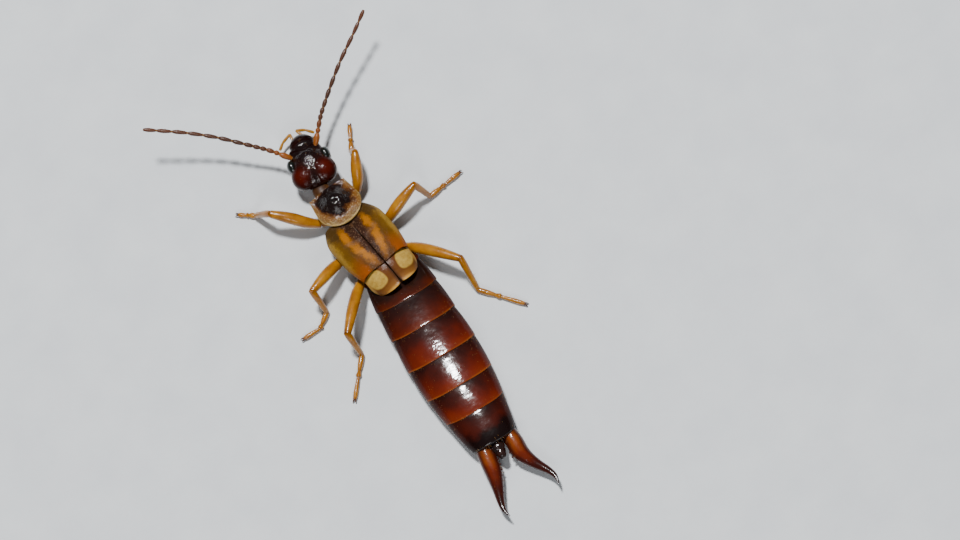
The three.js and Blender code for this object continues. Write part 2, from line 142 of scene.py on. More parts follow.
def deselect():
    if bpy.context.object and bpy.context.object.mode != "OBJECT":
        bpy.ops.object.mode_set(mode="OBJECT")
    bpy.ops.object.select_all(action="DESELECT")


deselect()
bpy.ops.mesh.primitive_plane_add(size=FLOOR_SIZE, location=(0, 0, 0))
floor = bpy.context.object
floor.name = "studio_floor"
floor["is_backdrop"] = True

room = bpy.data.worlds.new("pale_room")
bpy.context.scene.world = room
room.use_nodes = True
room_light = room.node_tree.nodes["Background"].inputs
room_light["Color"].default_value = ROOM_COLOUR
room_light["Strength"].default_value = ROOM_STRENGTH


def softbox(name, azimuth, lean, distance, size, watts):
    """A square lamp that leans by some degrees from straight above, towards an azimuth from -Y."""
    a = math.radians(azimuth)
    t = math.radians(lean)
    away = Vector((math.sin(a) * math.sin(t), -math.cos(a) * math.sin(t), math.cos(t)))
    bpy.ops.object.light_add(type="AREA", location=away * distance)
    lamp = bpy.context.object
    lamp.name = name
    lamp.data.size = size
    lamp.data.energy = watts
    lamp.rotation_euler = away.to_track_quat("Z", "Y").to_euler()
    return lamp


softbox("key_softbox", azimuth=-8, lean=17, distance=0.3, size=0.036, watts=1.3)
softbox("fill_softbox", azimuth=160, lean=50, distance=0.35, size=0.12, watts=0.36)
print("two lamps over a floor of", FLOOR_SIZE, "m")

# %% [markdown]
# Two ways of making a form serve most of the animal. A tube is a curve with a thickness at each of its
# points, turned into a mesh, as for a leg or a feeler. A sheet is a grid whose points each follow a
# rule, as for a wing case, whose outline, arch and droop all change along its length.
# An operator acts on all that is selected, so each helper first clears the selection.
# A Solidify modifier gives a sheet its wall, and a Bevel modifier rounds the wall's edges.

# %% Helpers that shape meshes
def only(*pieces):
    deselect()
    for piece in pieces:
        piece.select_set(True)
    bpy.context.view_layer.objects.active = pieces[0]


def apply_all(piece):
    only(piece)
    for modifier in list(piece.modifiers):
        bpy.ops.object.modifier_apply(modifier=modifier.name)


def tidy_mesh(piece, distance=0.0005):
    """Welds points that fall together and turns all faces outwards."""
    only(piece)
    bpy.ops.object.mode_set(mode="EDIT")
    bpy.ops.mesh.select_all(action="SELECT")
    bpy.ops.mesh.remove_doubles(threshold=distance)
    bpy.ops.mesh.normals_make_consistent(inside=False)
    bpy.ops.object.mode_set(mode="OBJECT")


def subdivide_smooth(piece, levels):
    modifier = piece.modifiers.new("round", "SUBSURF")
    modifier.levels = levels
    modifier.render_levels = levels
    apply_all(piece)


def join(name, pieces):
    only(*pieces)
    if len(pieces) > 1:
        bpy.ops.object.join()
    piece = bpy.context.object
    piece.name = name
    piece.data.name = name
    return piece


def write_attribute(piece, name, values):
    layer = piece.data.attributes.new(name, "FLOAT", "POINT")
    layer.data.foreach_set("value", np.asarray(values, dtype=np.float32))


def points_of(piece):
    flat = np.empty(len(piece.data.vertices) * 3, dtype=np.float32)
    piece.data.vertices.foreach_get("co", flat)
    return flat.reshape(-1, 3)


def move_points(piece, points):
    piece.data.vertices.foreach_set("co", np.asarray(points, dtype=np.float32).ravel())
    piece.data.update()


def tube(name, points, radii, around=6, steps=6):
    """A tapering closed tube. Its attribute 'along' runs from 0 at the root to 1 at the tip."""
    deselect()
    bpy.ops.curve.primitive_nurbs_path_add()
    path = bpy.context.object
    spline = path.data.splines[0]
    spline.points.add(max(0, len(points) - len(spline.points)))
    spline.order_u = min(3, len(points))
    spline.use_endpoint_u = True
    spline.resolution_u = steps
    for point, place, radius in zip(spline.points, points, radii):
        point.co = (*place, 1)
        point.radius = radius
    for point in list(spline.points)[len(points):]:
        point.co = (*points[-1], 1)
        point.radius = radii[-1]
    path.data.bevel_depth = 1
    path.data.bevel_resolution = around // 2
    path.data.use_fill_caps = True
    only(path)
    bpy.ops.object.convert(target="MESH")
    piece = bpy.context.object
    piece.name = name
    tidy_mesh(piece)
    line = np.array(points, dtype=float)
    lengths = np.r_[0, np.cumsum(np.linalg.norm(np.diff(line, axis=0), axis=1))]
    shares = np.linspace(0, 1, 60)
    dense = np.stack([np.interp(shares * lengths[-1], lengths, line[:, i]) for i in range(3)], axis=1)
    far = ((points_of(piece)[:, None, :] - dense[None]) ** 2).sum(axis=2)
    write_attribute(piece, "along", shares[np.argmin(far, axis=1)])
    return piece


def sheet_by_rule(name, rule, columns, rows):
    """A grid whose points are placed by rule(u, v), both from 0 to 1. Its UV map holds u and v."""
    deselect()
    bpy.ops.mesh.primitive_grid_add(x_subdivisions=columns, y_subdivisions=rows, size=1, calc_uvs=True)
    piece = bpy.context.object
    piece.name = name
    grid = points_of(piece) + 0.5
    move_points(piece, [rule(float(p[0]), float(p[1])) for p in grid])
    write_attribute(piece, "across", grid[:, 0])
    write_attribute(piece, "along", grid[:, 1])
    return piece


def shell_from(piece, wall, bevel_width):
    """Gives a sheet its wall, with rounded edges."""
    thick = piece.modifiers.new("wall", "SOLIDIFY")
    thick.thickness = wall
    thick.offset = -1
    bevel = piece.modifiers.new("edge", "BEVEL")
    bevel.width = bevel_width
    bevel.segments = 3
    bevel.limit_method = "ANGLE"
    bevel.angle_limit = math.radians(50)
    apply_all(piece)
    tidy_mesh(piece, 0.0002)
    return piece


def settle(piece, place, finish, nodes=(), angle=60):
    """Scales a finished piece to metres, sets it on the solids, gives it its finish and hides the solids that
    it stands in for.
    """
    piece.matrix_world = Matrix.Translation(SHIFT) @ Matrix.Scale(MM, 4) @ place
    only(piece)
    bpy.ops.object.transform_apply(location=True, rotation=True, scale=True)
    bpy.ops.object.shade_smooth_by_angle(angle=math.radians(angle))
    piece.data.materials.clear()
    piece.data.materials.append(finish)
    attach(piece, "root")
    if nodes:
        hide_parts(*nodes)
    print(piece.name, len(piece.data.polygons), "faces")
    return piece


def smoothstep(low_edge, high_edge, value):
    """0 below the low edge, 1 above the high edge and a smooth rise between them."""
    t = min(1, max(0, (value - low_edge) / (high_edge - low_edge)))
    return t * t * (3 - 2 * t)


def lerp(a, b, t):
    return a + (b - a) * t


def through(stops, t):
    """A value read from a row of (place, value) pairs, smooth between them."""
    for (t0, v0), (t1, v1) in zip(stops, stops[1:]):
        if t <= t1:
            return lerp(v0, v1, smoothstep(t0, t1, t))
    return stops[-1][1]


# %% [markdown]
# An insect's shell is glossy and slightly uneven. Every finish here is one shader with a thin clear
# coat, a colour that changes over the piece, and a fine bump that breaks up the highlights. The
# patterns read either the piece's own place or an attribute that was written while it was made, so
# they stay on the surface from every side.

# %% Helpers for the finishes
class Finish:
    """A node material, built up by small steps."""

    def __init__(self, name, roughness, coat=0.0, coat_roughness=0.1, specular=0.5):
        self.material = bpy.data.materials.new(name)
        self.material.use_nodes = True
        self.nodes = self.material.node_tree.nodes
        self.links = self.material.node_tree.links
        self.shader = self.nodes["Principled BSDF"]
        self.shader.inputs["Roughness"].default_value = roughness
        self.shader.inputs["Specular IOR Level"].default_value = specular
        self.shader.inputs["Coat Weight"].default_value = coat
        self.shader.inputs["Coat Roughness"].default_value = coat_roughness
        self.place = self.node("ShaderNodeTexCoord").outputs["Object"]

    def node(self, kind, **settings):
        made = self.nodes.new(kind)
        for key, value in settings.items():
            setattr(made, key, value)
        return made

    def feed(self, socket, value):
        if isinstance(value, bpy.types.NodeSocket):
            self.links.new(value, socket)
        else:
            socket.default_value = value

    def attribute(self, name):
        return self.node("ShaderNodeAttribute", attribute_name=name).outputs["Fac"]

    def scaled_place(self, per_mm, stretch=(1, 1, 1)):
        mapping = self.node("ShaderNodeMapping")
        self.feed(mapping.inputs["Vector"], self.place)
        mapping.inputs["Scale"].default_value = [per_mm / MM * s for s in stretch]
        return mapping.outputs["Vector"]

    def noise(self, per_mm, detail=3, stretch=(1, 1, 1)):
        """Soft clouds from 0 to 1, about this many to the mm."""
        made = self.node("ShaderNodeTexNoise")
        self.feed(made.inputs["Vector"], self.scaled_place(per_mm, stretch))
        made.inputs["Scale"].default_value = 1
        made.inputs["Detail"].default_value = detail
        made.inputs["Roughness"].default_value = 0.55
        return made.outputs["Fac"]

    def cells(self, per_mm):
        """A pattern of small cells, this many to the mm."""
        made = self.node("ShaderNodeTexVoronoi")
        self.feed(made.inputs["Vector"], self.scaled_place(per_mm))
        made.inputs["Scale"].default_value = 1
        return made.outputs["Distance"]

    def math(self, operation, a, b=0.0, clamp=False):
        made = self.node("ShaderNodeMath", operation=operation, use_clamp=clamp)
        self.feed(made.inputs[0], a)
        self.feed(made.inputs[1], b)
        return made.outputs[0]

    def spread(self, value, low_edge, high_edge, low_value=0.0, high_value=1.0):
        """Turns a stretch of a value into another stretch, with soft ends."""
        made = self.node("ShaderNodeMapRange", interpolation_type="SMOOTHSTEP", clamp=True)
        self.feed(made.inputs["Value"], value)
        made.inputs["From Min"].default_value = low_edge
        made.inputs["From Max"].default_value = high_edge
        made.inputs["To Min"].default_value = low_value
        made.inputs["To Max"].default_value = high_value
        return made.outputs["Result"]

    def ramp(self, value, stops):
        made = self.node("ShaderNodeValToRGB")
        self.feed(made.inputs["Fac"], value)
        elements = made.color_ramp.elements
        while len(elements) < len(stops):
            elements.new(0.5)
        for element, (position, colour) in zip(elements, stops):
            element.position = position
            element.color = (*colour, 1)
        return made.outputs["Color"]

    def mix(self, factor, a, b):
        made = self.node("ShaderNodeMix", data_type="RGBA")
        self.feed(made.inputs["Factor"], factor)
        self.feed(made.inputs["A"], a if isinstance(a, bpy.types.NodeSocket) else (*a, 1))
        self.feed(made.inputs["B"], b if isinstance(b, bpy.types.NodeSocket) else (*b, 1))
        return made.outputs["Result"]

    def colour(self, value):
        self.feed(self.shader.inputs["Base Color"], value)

    def coat(self, value):
        self.feed(self.shader.inputs["Coat Weight"], value)

    def mottle(self, per_mm, dark, light):
        """A plain colour that drifts between a dark and a light tone."""
        self.colour(self.ramp(self.noise(per_mm), [(0.3, dark), (0.7, light)]))

    def bump(self, *layers):
        """Each layer is a height from 0 to 1 and the depth in mm that it stands for."""
        normal = None
        for height, depth in layers:
            made = self.node("ShaderNodeBump")
            made.inputs["Strength"].default_value = 1
            made.inputs["Distance"].default_value = depth * MM
            self.feed(made.inputs["Height"], height)
            if normal is not None:
                self.feed(made.inputs["Normal"], normal)
            normal = made.outputs["Normal"]
        self.feed(self.shader.inputs["Normal"], normal)
        self.feed(self.shader.inputs["Coat Normal"], normal)


# %% Floor finish
floor_finish = Finish("floor_paper", 0.85)
floor_finish.mottle(0.6, (0.66, 0.69, 0.72), (0.72, 0.75, 0.77))
floor_finish.bump((floor_finish.noise(6), 0.01))
floor.data.materials.append(floor_finish.material)

# %% [markdown]
# The finishes of the body follow. The head is nearly black with a red glow in the round rear lobes.
# Small dents in the shell break its highlights into patches, so the bump has a coarse and a fine layer.

# %% Head and eye finishes
def head_finish():
    f = Finish("head_shell", 0.35, coat_roughness=0.06, specular=0.04)
    glow = f.attribute("glow")
    patch = f.noise(1.6, detail=2)
    reach = f.math("ADD", glow, f.spread(patch, 0.3, 0.7, -0.12, 0.12), clamp=True)
    f.colour(f.ramp(reach, [
        (0.0, (0.006, 0.0012, 0.0009)),
        (0.3, (0.018, 0.0022, 0.001)),
        (0.65, (0.034, 0.0026, 0.001)),
        (1.0, (0.052, 0.0036, 0.001)),
    ]))
    rough = f.attribute("rough")
    dents = f.math("MULTIPLY", f.noise(6, detail=3), f.spread(rough, 0, 1, 0.3, 1))
    f.bump((dents, 0.042), (f.noise(15, detail=3), 0.011))
    grooves = f.spread(f.attribute("grooves"), 0.0, 0.4, 1.0, 0.0)
    f.coat(f.math("MULTIPLY", f.spread(glow, 0.25, 0.7, 1.0, 0.14), grooves))
    return f.material


def eye_finish():
    f = Finish("eye_facets", 0.25, coat=0.8, coat_roughness=0.06, specular=0.2)
    f.mottle(5, (0.002, 0.003, 0.002), (0.006, 0.009, 0.007))
    f.bump((f.cells(34), 0.005))
    return f.material


def mouth_finish():
    f = Finish("mouth_parts", 0.3, coat=0.5, coat_roughness=0.12, specular=0.3)
    f.mottle(7, (0.26, 0.1, 0.008), (0.42, 0.2, 0.016))
    f.bump((f.noise(18), 0.004))
    return f.material


HEAD_SHELL = head_finish()
EYE_FACETS = eye_finish()
MOUTH_PARTS = mouth_finish()

# %% [markdown]
# The head is one swelling form: a flat dome, two round lobes behind, a narrower snout in front. It
# could be pulled out of one cube, but forms that melt into each other are easier as overlapping balls.
# A voxel remesh turns the balls into one skin and a few rounds of smoothing take away the creases.
# The head looks along -Y, like the rest of the animal. Three fine grooves are pressed in at the end: one
# down the middle, one with two arms behind the snout, and the mouth line in front.

# %% Head capsule
def ball(name, centre, half, segments=32, rings=20):
    deselect()
    bpy.ops.mesh.primitive_uv_sphere_add(segments=segments, ring_count=rings, radius=1)
    piece = bpy.context.object
    piece.name = name
    move_points(piece, points_of(piece) * np.array(half) + np.array(centre))
    return piece


def melt(pieces, name, voxel, rounds):
    piece = join(name, pieces)
    remesh = piece.modifiers.new("skin", "REMESH")
    remesh.mode = "VOXEL"
    remesh.voxel_size = voxel
    smooth = piece.modifiers.new("soften", "SMOOTH")
    smooth.factor = 0.5
    smooth.iterations = rounds
    apply_all(piece)
    return piece


GROOVE = 0.035


def make_head():
    balls = [
        ball("dome", (0, 0.12, 0.8), (0.62, 0.7, 0.4)),
        ball("cheeks", (0, -0.04, 0.77), (0.75, 0.46, 0.32)),
        ball("brow", (0, -0.34, 0.8), (0.57, 0.4, 0.25)),
        ball("snout", (0, -0.6, 0.74), (0.45, 0.48, 0.26)),
        ball("back_of_head", (0, 0.42, 0.78), (0.5, 0.44, 0.34)),
        ball("chin", (0, 0, 0.55), (0.42, 0.74, 0.2)),
        ball("upper_lip", (0, -0.88, 0.7), (0.34, 0.21, 0.15)),
    ]
    for side in (-1, 1):
        balls.append(ball("lobe", (side * 0.33, 0.36, 0.78), (0.435, 0.48, 0.38)))
        balls.append(ball("feeler_socket", (side * 0.4, -0.5, 0.84), (0.13, 0.14, 0.12)))
    piece = melt(balls, "head_capsule", 0.022, 16)
    points = points_of(piece)
    x, y, z = points[:, 0], points[:, 1], points[:, 2]
    upper = np.clip((z - 0.8) / 0.2, 0, 1)
    middle = np.exp(-(x / GROOVE) ** 2) * np.clip((y + 0.25) / 0.3, 0, 1)
    arms = np.exp(-((y + 0.42 + 0.3 * np.abs(x)) / GROOVE) ** 2)
    mouth_line = np.exp(-((y + 0.84 - 0.25 * x ** 2) / 0.018) ** 2) * (z > 0.6)
    points[:, 2] = z - upper * (0.02 * middle + 0.012 * arms) - 0.016 * mouth_line
    around_mouth_line = np.exp(-((y + 0.83 - 0.25 * x ** 2) / 0.07) ** 2) * (z > 0.6)
    move_points(piece, points)
    write_attribute(piece, "grooves", np.clip(around_mouth_line + arms * upper, 0, 1))
    lobe = np.exp(-(((np.abs(x) - 0.44) / 0.32) ** 2 + ((y - 0.42) / 0.36) ** 2))
    write_attribute(piece, "glow", np.clip(lobe * 1.15, 0, 1))
    crown = np.exp(-((x / 0.34) ** 2 + ((y + 0.02) / 0.42) ** 2))
    write_attribute(piece, "rough", np.clip(crown * 1.3, 0, 1))
    return piece


head = make_head()
settle(head, HEAD, HEAD_SHELL, ["head"])

# %% [markdown]
# The eyes are separate black domes that sit in the sides of the head.

# %% Eyes
for side, sign in (("left", 1), ("right", -1)):
    eye = ball(f"eye_{side}_dome", (sign * 0.585, -0.09, 0.85), (0.16, 0.245, 0.19), 40, 26)
    settle(eye, HEAD, EYE_FACETS, [f"eye_{side}"])

# %% [markdown]
# The mouth of an earwig points forward. The upper lip is part of the head's skin, with a fine groove
# where it meets the snout. Under it lie two jaws and two pairs of jointed mouth feelers. All of these
# are tubes.

# %% Mouthparts
MOUTH_FEELER_JOINTS = {
    1: [(0.24, -0.72, 0.5), (0.23, -1.08, 0.52), (0.24, -1.3, 0.5), (0.56, -1.15, 0.42),
        (0.74, -0.98, 0.34)],
    -1: [(-0.2, -0.72, 0.5), (-0.12, -1.1, 0.52), (0.0, -1.34, 0.5), (-0.28, -1.26, 0.42),
         (-0.52, -1.08, 0.35)],
}


def jointed_feeler(name, joints, radii):
    """One short tube from each joint to the next, thickest past its middle."""
    tubes = []
    for start, end in zip(joints, joints[1:]):
        middle = [lerp(a, b, 0.6) for a, b in zip(start, end)]
        tubes.append(tube(name, [start, middle, end], radii, around=6))
    return tubes


def make_mouth():
    parts = []
    for sign in (-1, 1):
        parts.append(tube("jaw", [
            (sign * 0.3, -0.62, 0.56), (sign * 0.32, -0.84, 0.55), (sign * 0.2, -1.0, 0.55),
            (sign * 0.02, -1.04, 0.55),
        ], [0.13, 0.12, 0.09, 0.03], around=8))
        parts.extend(jointed_feeler("mouth_feeler", MOUTH_FEELER_JOINTS[sign], [0.04, 0.058, 0.042]))
        inner = [(sign * 0.1, -0.76, 0.48), (sign * 0.12, -1.0, 0.46), (sign * 0.18, -1.12, 0.36)]
        parts.extend(jointed_feeler("lip_feeler", inner, [0.032, 0.045, 0.03]))
    return join("mouth_feelers_and_jaws", parts)


settle(make_mouth(), HEAD, MOUTH_PARTS)

# %% [markdown]
# A feeler is a row of about thirteen pieces: a long orange one, a very short one, and then ever longer
# dark ones, each a spindle with a pale joint. One tube per piece keeps each joint crisp, and the
# attribute 'along' of each piece gives the pale ring at its root.

# %% Feeler finish and feelers
FEELER_SHARES = [2.6, 1, 1.6, 1.2, 1.4, 1.8, 2.3, 2.7, 2.9, 3, 3, 2.9, 2.6]
FEELER_PATHS = {
    "left": [(1.02, -4.86, 0.92), (1.22, -5.08, 1.03), (1.37, -5.26, 1.08), (1.62, -5.53, 1.15),
             (2.14, -6.02, 1.3), (2.79, -6.63, 1.45), (3.6, -7.25, 1.65), (4.7, -7.99, 1.85)],
    "right": [(0.16, -4.84, 0.92), (-0.05, -5.06, 1.04), (-0.18, -5.2, 1.1), (-0.53, -5.58, 1.2),
              (-1.21, -6.15, 1.35), (-1.95, -6.7, 1.55), (-2.74, -7.21, 1.7), (-3.43, -7.67, 1.9)],
}


def feeler_finish():
    f = Finish("feeler_shell", 0.45, coat=0.2, coat_roughness=0.2, specular=0.25)
    tone = f.attribute("tone")
    along = f.attribute("along")
    dark = f.ramp(tone, [
        (0.0, (0.24, 0.065, 0.005)), (0.12, (0.17, 0.042, 0.005)), (0.2, (0.07, 0.02, 0.006)),
        (0.5, (0.035, 0.011, 0.005)), (1.0, (0.08, 0.022, 0.008)),
    ])
    joint = f.math("MAXIMUM", f.spread(along, 0.1, 0.0), f.spread(along, 0.95, 1.0))
    coloured = f.mix(f.math("MULTIPLY", joint, 0.5), dark, (0.36, 0.2, 0.06))
    f.colour(f.mix(f.spread(f.noise(22), 0.35, 0.7, 0, 0.25), coloured, (0.16, 0.06, 0.02)))
    f.bump((f.noise(26), 0.006))
    return f.material


def spline_points(points, shares):
    """Places at the given shares of the length of a smooth line through the points."""
    dense = []
    padded = [2 * np.array(points[0]) - np.array(points[1])] + [np.array(p) for p in points]
    padded.append(2 * padded[-1] - padded[-2])
    for i in range(1, len(padded) - 2):
        p0, p1, p2, p3 = padded[i - 1:i + 3]
        for t in np.linspace(0, 1, 24, endpoint=False):
            dense.append(0.5 * (2 * p1 + (p2 - p0) * t + (2 * p0 - 5 * p1 + 4 * p2 - p3) * t ** 2
                                + (3 * p1 - p0 - 3 * p2 + p3) * t ** 3))
    dense.append(padded[-2])
    dense = np.array(dense)
    lengths = np.r_[0, np.cumsum(np.linalg.norm(np.diff(dense, axis=0), axis=1))]
    wanted = np.asarray(shares) * lengths[-1]
    return [tuple(float(np.interp(w, lengths, dense[:, i])) for i in range(3)) for w in wanted]


def make_feeler(side):
    total = sum(FEELER_SHARES)
    pieces = []
    start = 0
    for i, share in enumerate(FEELER_SHARES):
        length = share / total
        spots = [start + length * t for t in (0.0, 0.18, 0.5, 0.82, 1.0)]
        place = spline_points(FEELER_PATHS[side], spots)
        thick = lerp(0.088, 0.068, i / len(FEELER_SHARES)) * (1.2 if i == 0 else 1)
        radii = [thick * k for k in (0.5, 0.82, 1.0, 0.96, 0.52)]
        piece = tube("bead", place, radii, around=8, steps=4)
        write_attribute(piece, "tone", [i / (len(FEELER_SHARES) - 1)] * len(piece.data.vertices))
        pieces.append(piece)
        start += length
    return join(f"feeler_{side}", pieces)


FEELER_SHELL = feeler_finish()
feelers = [
    settle(make_feeler(side), BODY, FEELER_SHELL, [f"antenna_{side}"])
    for side in ("left", "right")
]

# %% [markdown]
# The pronotum is a shield: a black bumpy dome in front and a thin pale rim at its sides and back. A
# sheet follows a rule that gives the outline, the dome and the turned-up edge. Straight sides widen
# towards the back and end in an arc.

# %% Pronotum
def pronotum_finish():
    f = Finish("pronotum_shell", 0.4, coat_roughness=0.06, specular=0.03)
    rim = f.attribute("rim")
    wobble = f.spread(f.noise(2.4, detail=4), 0.3, 0.7, -0.1, 0.1)
    place = f.math("ADD", rim, wobble, clamp=True)
    base = f.ramp(place, [
        (0.0, (0.004, 0.0015, 0.001)), (0.5, (0.008, 0.0025, 0.0015)), (0.6, (0.06, 0.016, 0.002)),
        (0.7, (0.15, 0.055, 0.007)), (0.88, (0.13, 0.07, 0.018)), (0.97, (0.3, 0.19, 0.055)),
    ])
    grain = f.spread(f.noise(26, detail=3), 0.52, 0.72)
    pale = f.math("MULTIPLY", grain, f.spread(place, 0.5, 0.75, 0, 0.7))
    dark = f.spread(f.noise(20, detail=3), 0.55, 0.75)
    dark = f.math("MULTIPLY", dark, f.spread(place, 0.5, 0.8, 0, 0.6))
    f.colour(f.mix(dark, f.mix(pale, base, (0.46, 0.33, 0.13)), (0.06, 0.024, 0.009)))
    grains = f.math("MULTIPLY", f.noise(22, detail=3), f.spread(place, 0.5, 0.75, 0.4, 1))
    f.bump((f.noise(9, detail=3), 0.03), (grains, 0.014))
    f.coat(f.spread(place, 0.5, 0.75, 1.0, 0.22))
    return f.material


SHIELD_FRONT = -0.68
SHIELD_FRONT_HALF = 0.66
SHIELD_HALF_WIDTH = 0.775
SHIELD_WIDEST_Y = 0.06
SHIELD_ARC = 0.65
SHIELD_CORNER = 0.68


def rear_arc(x):
    return SHIELD_WIDEST_Y + SHIELD_ARC * math.sqrt(max(0, 1 - (x / SHIELD_HALF_WIDTH) ** 2))


def shield_half_width(y, v):
    if y < SHIELD_WIDEST_Y:
        return SHIELD_FRONT_HALF + (SHIELD_HALF_WIDTH - SHIELD_FRONT_HALF) * smoothstep(-0.3, 0.703, v)
    return SHIELD_HALF_WIDTH * math.sqrt(1 - ((y - SHIELD_WIDEST_Y) / SHIELD_ARC) ** 2)


def pronotum_point(u, v):
    across = 2 * u - 1
    side_y = lerp(SHIELD_FRONT, rear_arc(SHIELD_CORNER), v)
    x = across * shield_half_width(side_y, v)
    front = SHIELD_FRONT - 0.02 * (1 - across ** 2)
    y = lerp(front, rear_arc(across * SHIELD_CORNER), v)
    far = math.hypot(x / 0.58, (y + 0.17) / 0.56)
    dome = 0.27 * (1 - smoothstep(0.2, 1.1, far))
    groove = -0.025 * math.exp(-(x / 0.045) ** 2) * (1 - smoothstep(0.3, 0.8, far))
    edge = smoothstep(0.86, 1, max(abs(across), v))
    tilt = 0.17 * smoothstep(-0.6, 0.5, y)
    z = 1.0 + tilt + dome + groove - 0.07 * abs(across) ** 2 + 0.015 * edge
    return x, y, z


def make_pronotum():
    piece = sheet_by_rule("pronotum_shield", pronotum_point, 46, 46)
    points = points_of(piece)
    far = np.hypot(points[:, 0] / 0.57, (points[:, 1] + 0.24) / 0.56)
    across = piece.data.attributes["across"].data
    along = piece.data.attributes["along"].data
    edge = np.array([max(abs(2 * a.value - 1), b.value) for a, b in zip(across, along)])
    rim = far * 0.56 + 0.3 * np.clip((edge - 0.95) / 0.05, 0, 1)
    write_attribute(piece, "rim", np.clip(rim, 0, 1))
    return shell_from(piece, 0.05, 0.018)


pronotum = make_pronotum()
settle(pronotum, PRONOTUM, pronotum_finish(), ["pronotum"], angle=75)

# %% [markdown]
# Under the shields lies the softer trunk: neck, three short thoracic segments and the sockets of the
# six legs. Overlapping balls and tubes melt into one skin, as for the head.

# %% Trunk
def trunk_finish():
    f = Finish("trunk_skin", 0.5, coat=0.08, coat_roughness=0.25, specular=0.15)
    f.colour(f.ramp(f.noise(2.5, detail=4), [
        (0.3, (0.025, 0.009, 0.003)), (0.5, (0.05, 0.018, 0.004)), (0.72, (0.1, 0.042, 0.009)),
    ]))
    f.bump((f.noise(9, detail=3), 0.012), (f.noise(30), 0.004))
    return f.material


HIPS = {
    "front_left": (PRONOTUM, 1, -0.05), "front_right": (PRONOTUM, -1, -0.2),
    "middle_left": (THORAX, 1, -1.35), "middle_right": (THORAX, -1, -1.35),
    "hind_left": (THORAX, 1, -0.42), "hind_right": (THORAX, -1, -0.42),
}


def on(place, x, y, z):
    return tuple(place @ Vector((x, y, z)))


def make_trunk():
    parts = [
        ball("neck", on(HEAD, 0, 0.98, 0.62), (0.3, 0.4, 0.19)),
        ball("front_segment", on(PRONOTUM, 0, 0, 0.7), (0.46, 0.74, 0.4)),
        ball("middle_segment", on(THORAX, 0, -1.5, 0.7), (0.66, 0.75, 0.42)),
        ball("rear_segment", on(THORAX, 0, -0.6, 0.72), (0.7, 0.8, 0.5)),
        ball("waist", on(BODY, 0.16, 0.15, 0.7), (0.72, 0.62, 0.44)),
    ]
    for place, sign, y in HIPS.values():
        parts.append(ball("leg_socket", on(place, sign * 0.46, y, 0.46), (0.26, 0.24, 0.2)))
    return melt(parts, "trunk", 0.03, 7)


trunk = make_trunk()
settle(trunk, BODY, trunk_finish(), ["thorax"])

# %% [markdown]
# The two wing cases are short arched shells that meet along the back and fold down at the sides. Their
# colour is a pattern: olive brown, an ochre streak beside the dark seam, a clear yellowish side edge
# and an orange-red rear corner. Two attributes keep how many mm each point lies from the seam and along
# the case, and the pattern reads these.

# %% Wing cases
def oval(f, x, y, centre, half, soft=0.35, fullness=2.0):
    """1 inside an oval of the given half sizes. Above a fullness of 2 the oval grows squarer."""
    powers = []
    for value, middle, size in ((x, centre[0], half[0]), (y, centre[1], half[1])):
        offset = f.math("ABSOLUTE", f.math("DIVIDE", f.math("SUBTRACT", value, middle), size))
        powers.append(f.math("POWER", offset, fullness))
    far = f.math("POWER", f.math("ADD", *powers), 1 / fullness)
    return f.spread(far, 1 + soft, 1 - soft)


def wing_case_finish():
    f = Finish("wing_case_shell", 0.5, coat=0.07, coat_roughness=0.14, specular=0.03)
    wobble = f.spread(f.noise(4, detail=4), 0.25, 0.75, -0.05, 0.05)
    fine = f.spread(f.noise(18, detail=4), 0.25, 0.75, -0.035, 0.035)
    x = f.math("ADD", f.math("ADD", f.attribute("side_mm"), wobble), fine)
    y = f.math("ADD", f.attribute("tail_mm"), wobble)
    base = f.ramp(x, [
        (0.0, (0.045, 0.015, 0.004)), (0.3, (0.075, 0.026, 0.004)), (0.6, (0.08, 0.033, 0.003)),
        (0.84, (0.12, 0.055, 0.005)), (0.93, (0.24, 0.13, 0.014)), (1.0, (0.3, 0.17, 0.022)),
    ])
    reddish = f.math("MULTIPLY", f.spread(y, -0.95, -0.1), f.spread(x, 0.4, 0.62))
    body = f.mix(f.math("MULTIPLY", reddish, 0.85), base, (0.26, 0.055, 0.003))
    shoulder = oval(f, x, y, (0.62, -2.0), (0.34, 0.4))
    body = f.mix(f.math("MULTIPLY", shoulder, 0.7), body, (0.035, 0.02, 0.006))
    slanted = f.math("ADD", x, f.math("MULTIPLY", f.math("ADD", y, 0.75), 0.26))
    front_spot = oval(f, x, y, (0.45, -1.6), (0.12, 0.3), 0.65)
    rear_spot = oval(f, slanted, y, (0.345, -0.78), (0.125, 0.52), 0.65)
    spots = f.math("MULTIPLY", f.math("MAXIMUM", front_spot, rear_spot), 0.92)
    body = f.mix(spots, body, (0.35, 0.12, 0.005))
    seam_place = f.math("ADD", x, f.math("MULTIPLY", f.math("ADD", y, 1.0), 0.16))
    body = f.mix(f.spread(seam_place, 0.24, 0.12, 0, 0.85), body, (0.03, 0.013, 0.009))
    # Painted glints: pale flecks near the seam stand in for highlights on the granules and are painted into
    # the colour.
    grain = f.spread(f.noise(20, detail=3), 0.54, 0.68)
    painted_glint = f.math("MULTIPLY", grain, f.spread(seam_place, 0.34, 0.1, 0.04, 0.34))
    front = f.math("MULTIPLY", f.spread(y, -1.55, -1.85), f.spread(x, 0.34, 0.16, 0, 0.8))
    body = f.mix(front, body, (0.022, 0.01, 0.005))
    f.colour(f.mix(painted_glint, body, (0.36, 0.21, 0.12)))
    f.bump((f.noise(5, detail=3), 0.014), (f.noise(24, detail=3), 0.014))
    return f.material


CASE_FRONT = -2.28
CASE_FRONT_AT_SEAM = -1.98
CASE_HALF_WIDTH = 1.07
CASE_CROWN = [(0, 1.06), (0.42, 1.42), (0.65, 1.49), (1, 1.46)]
SEAM_HALF = 0.012


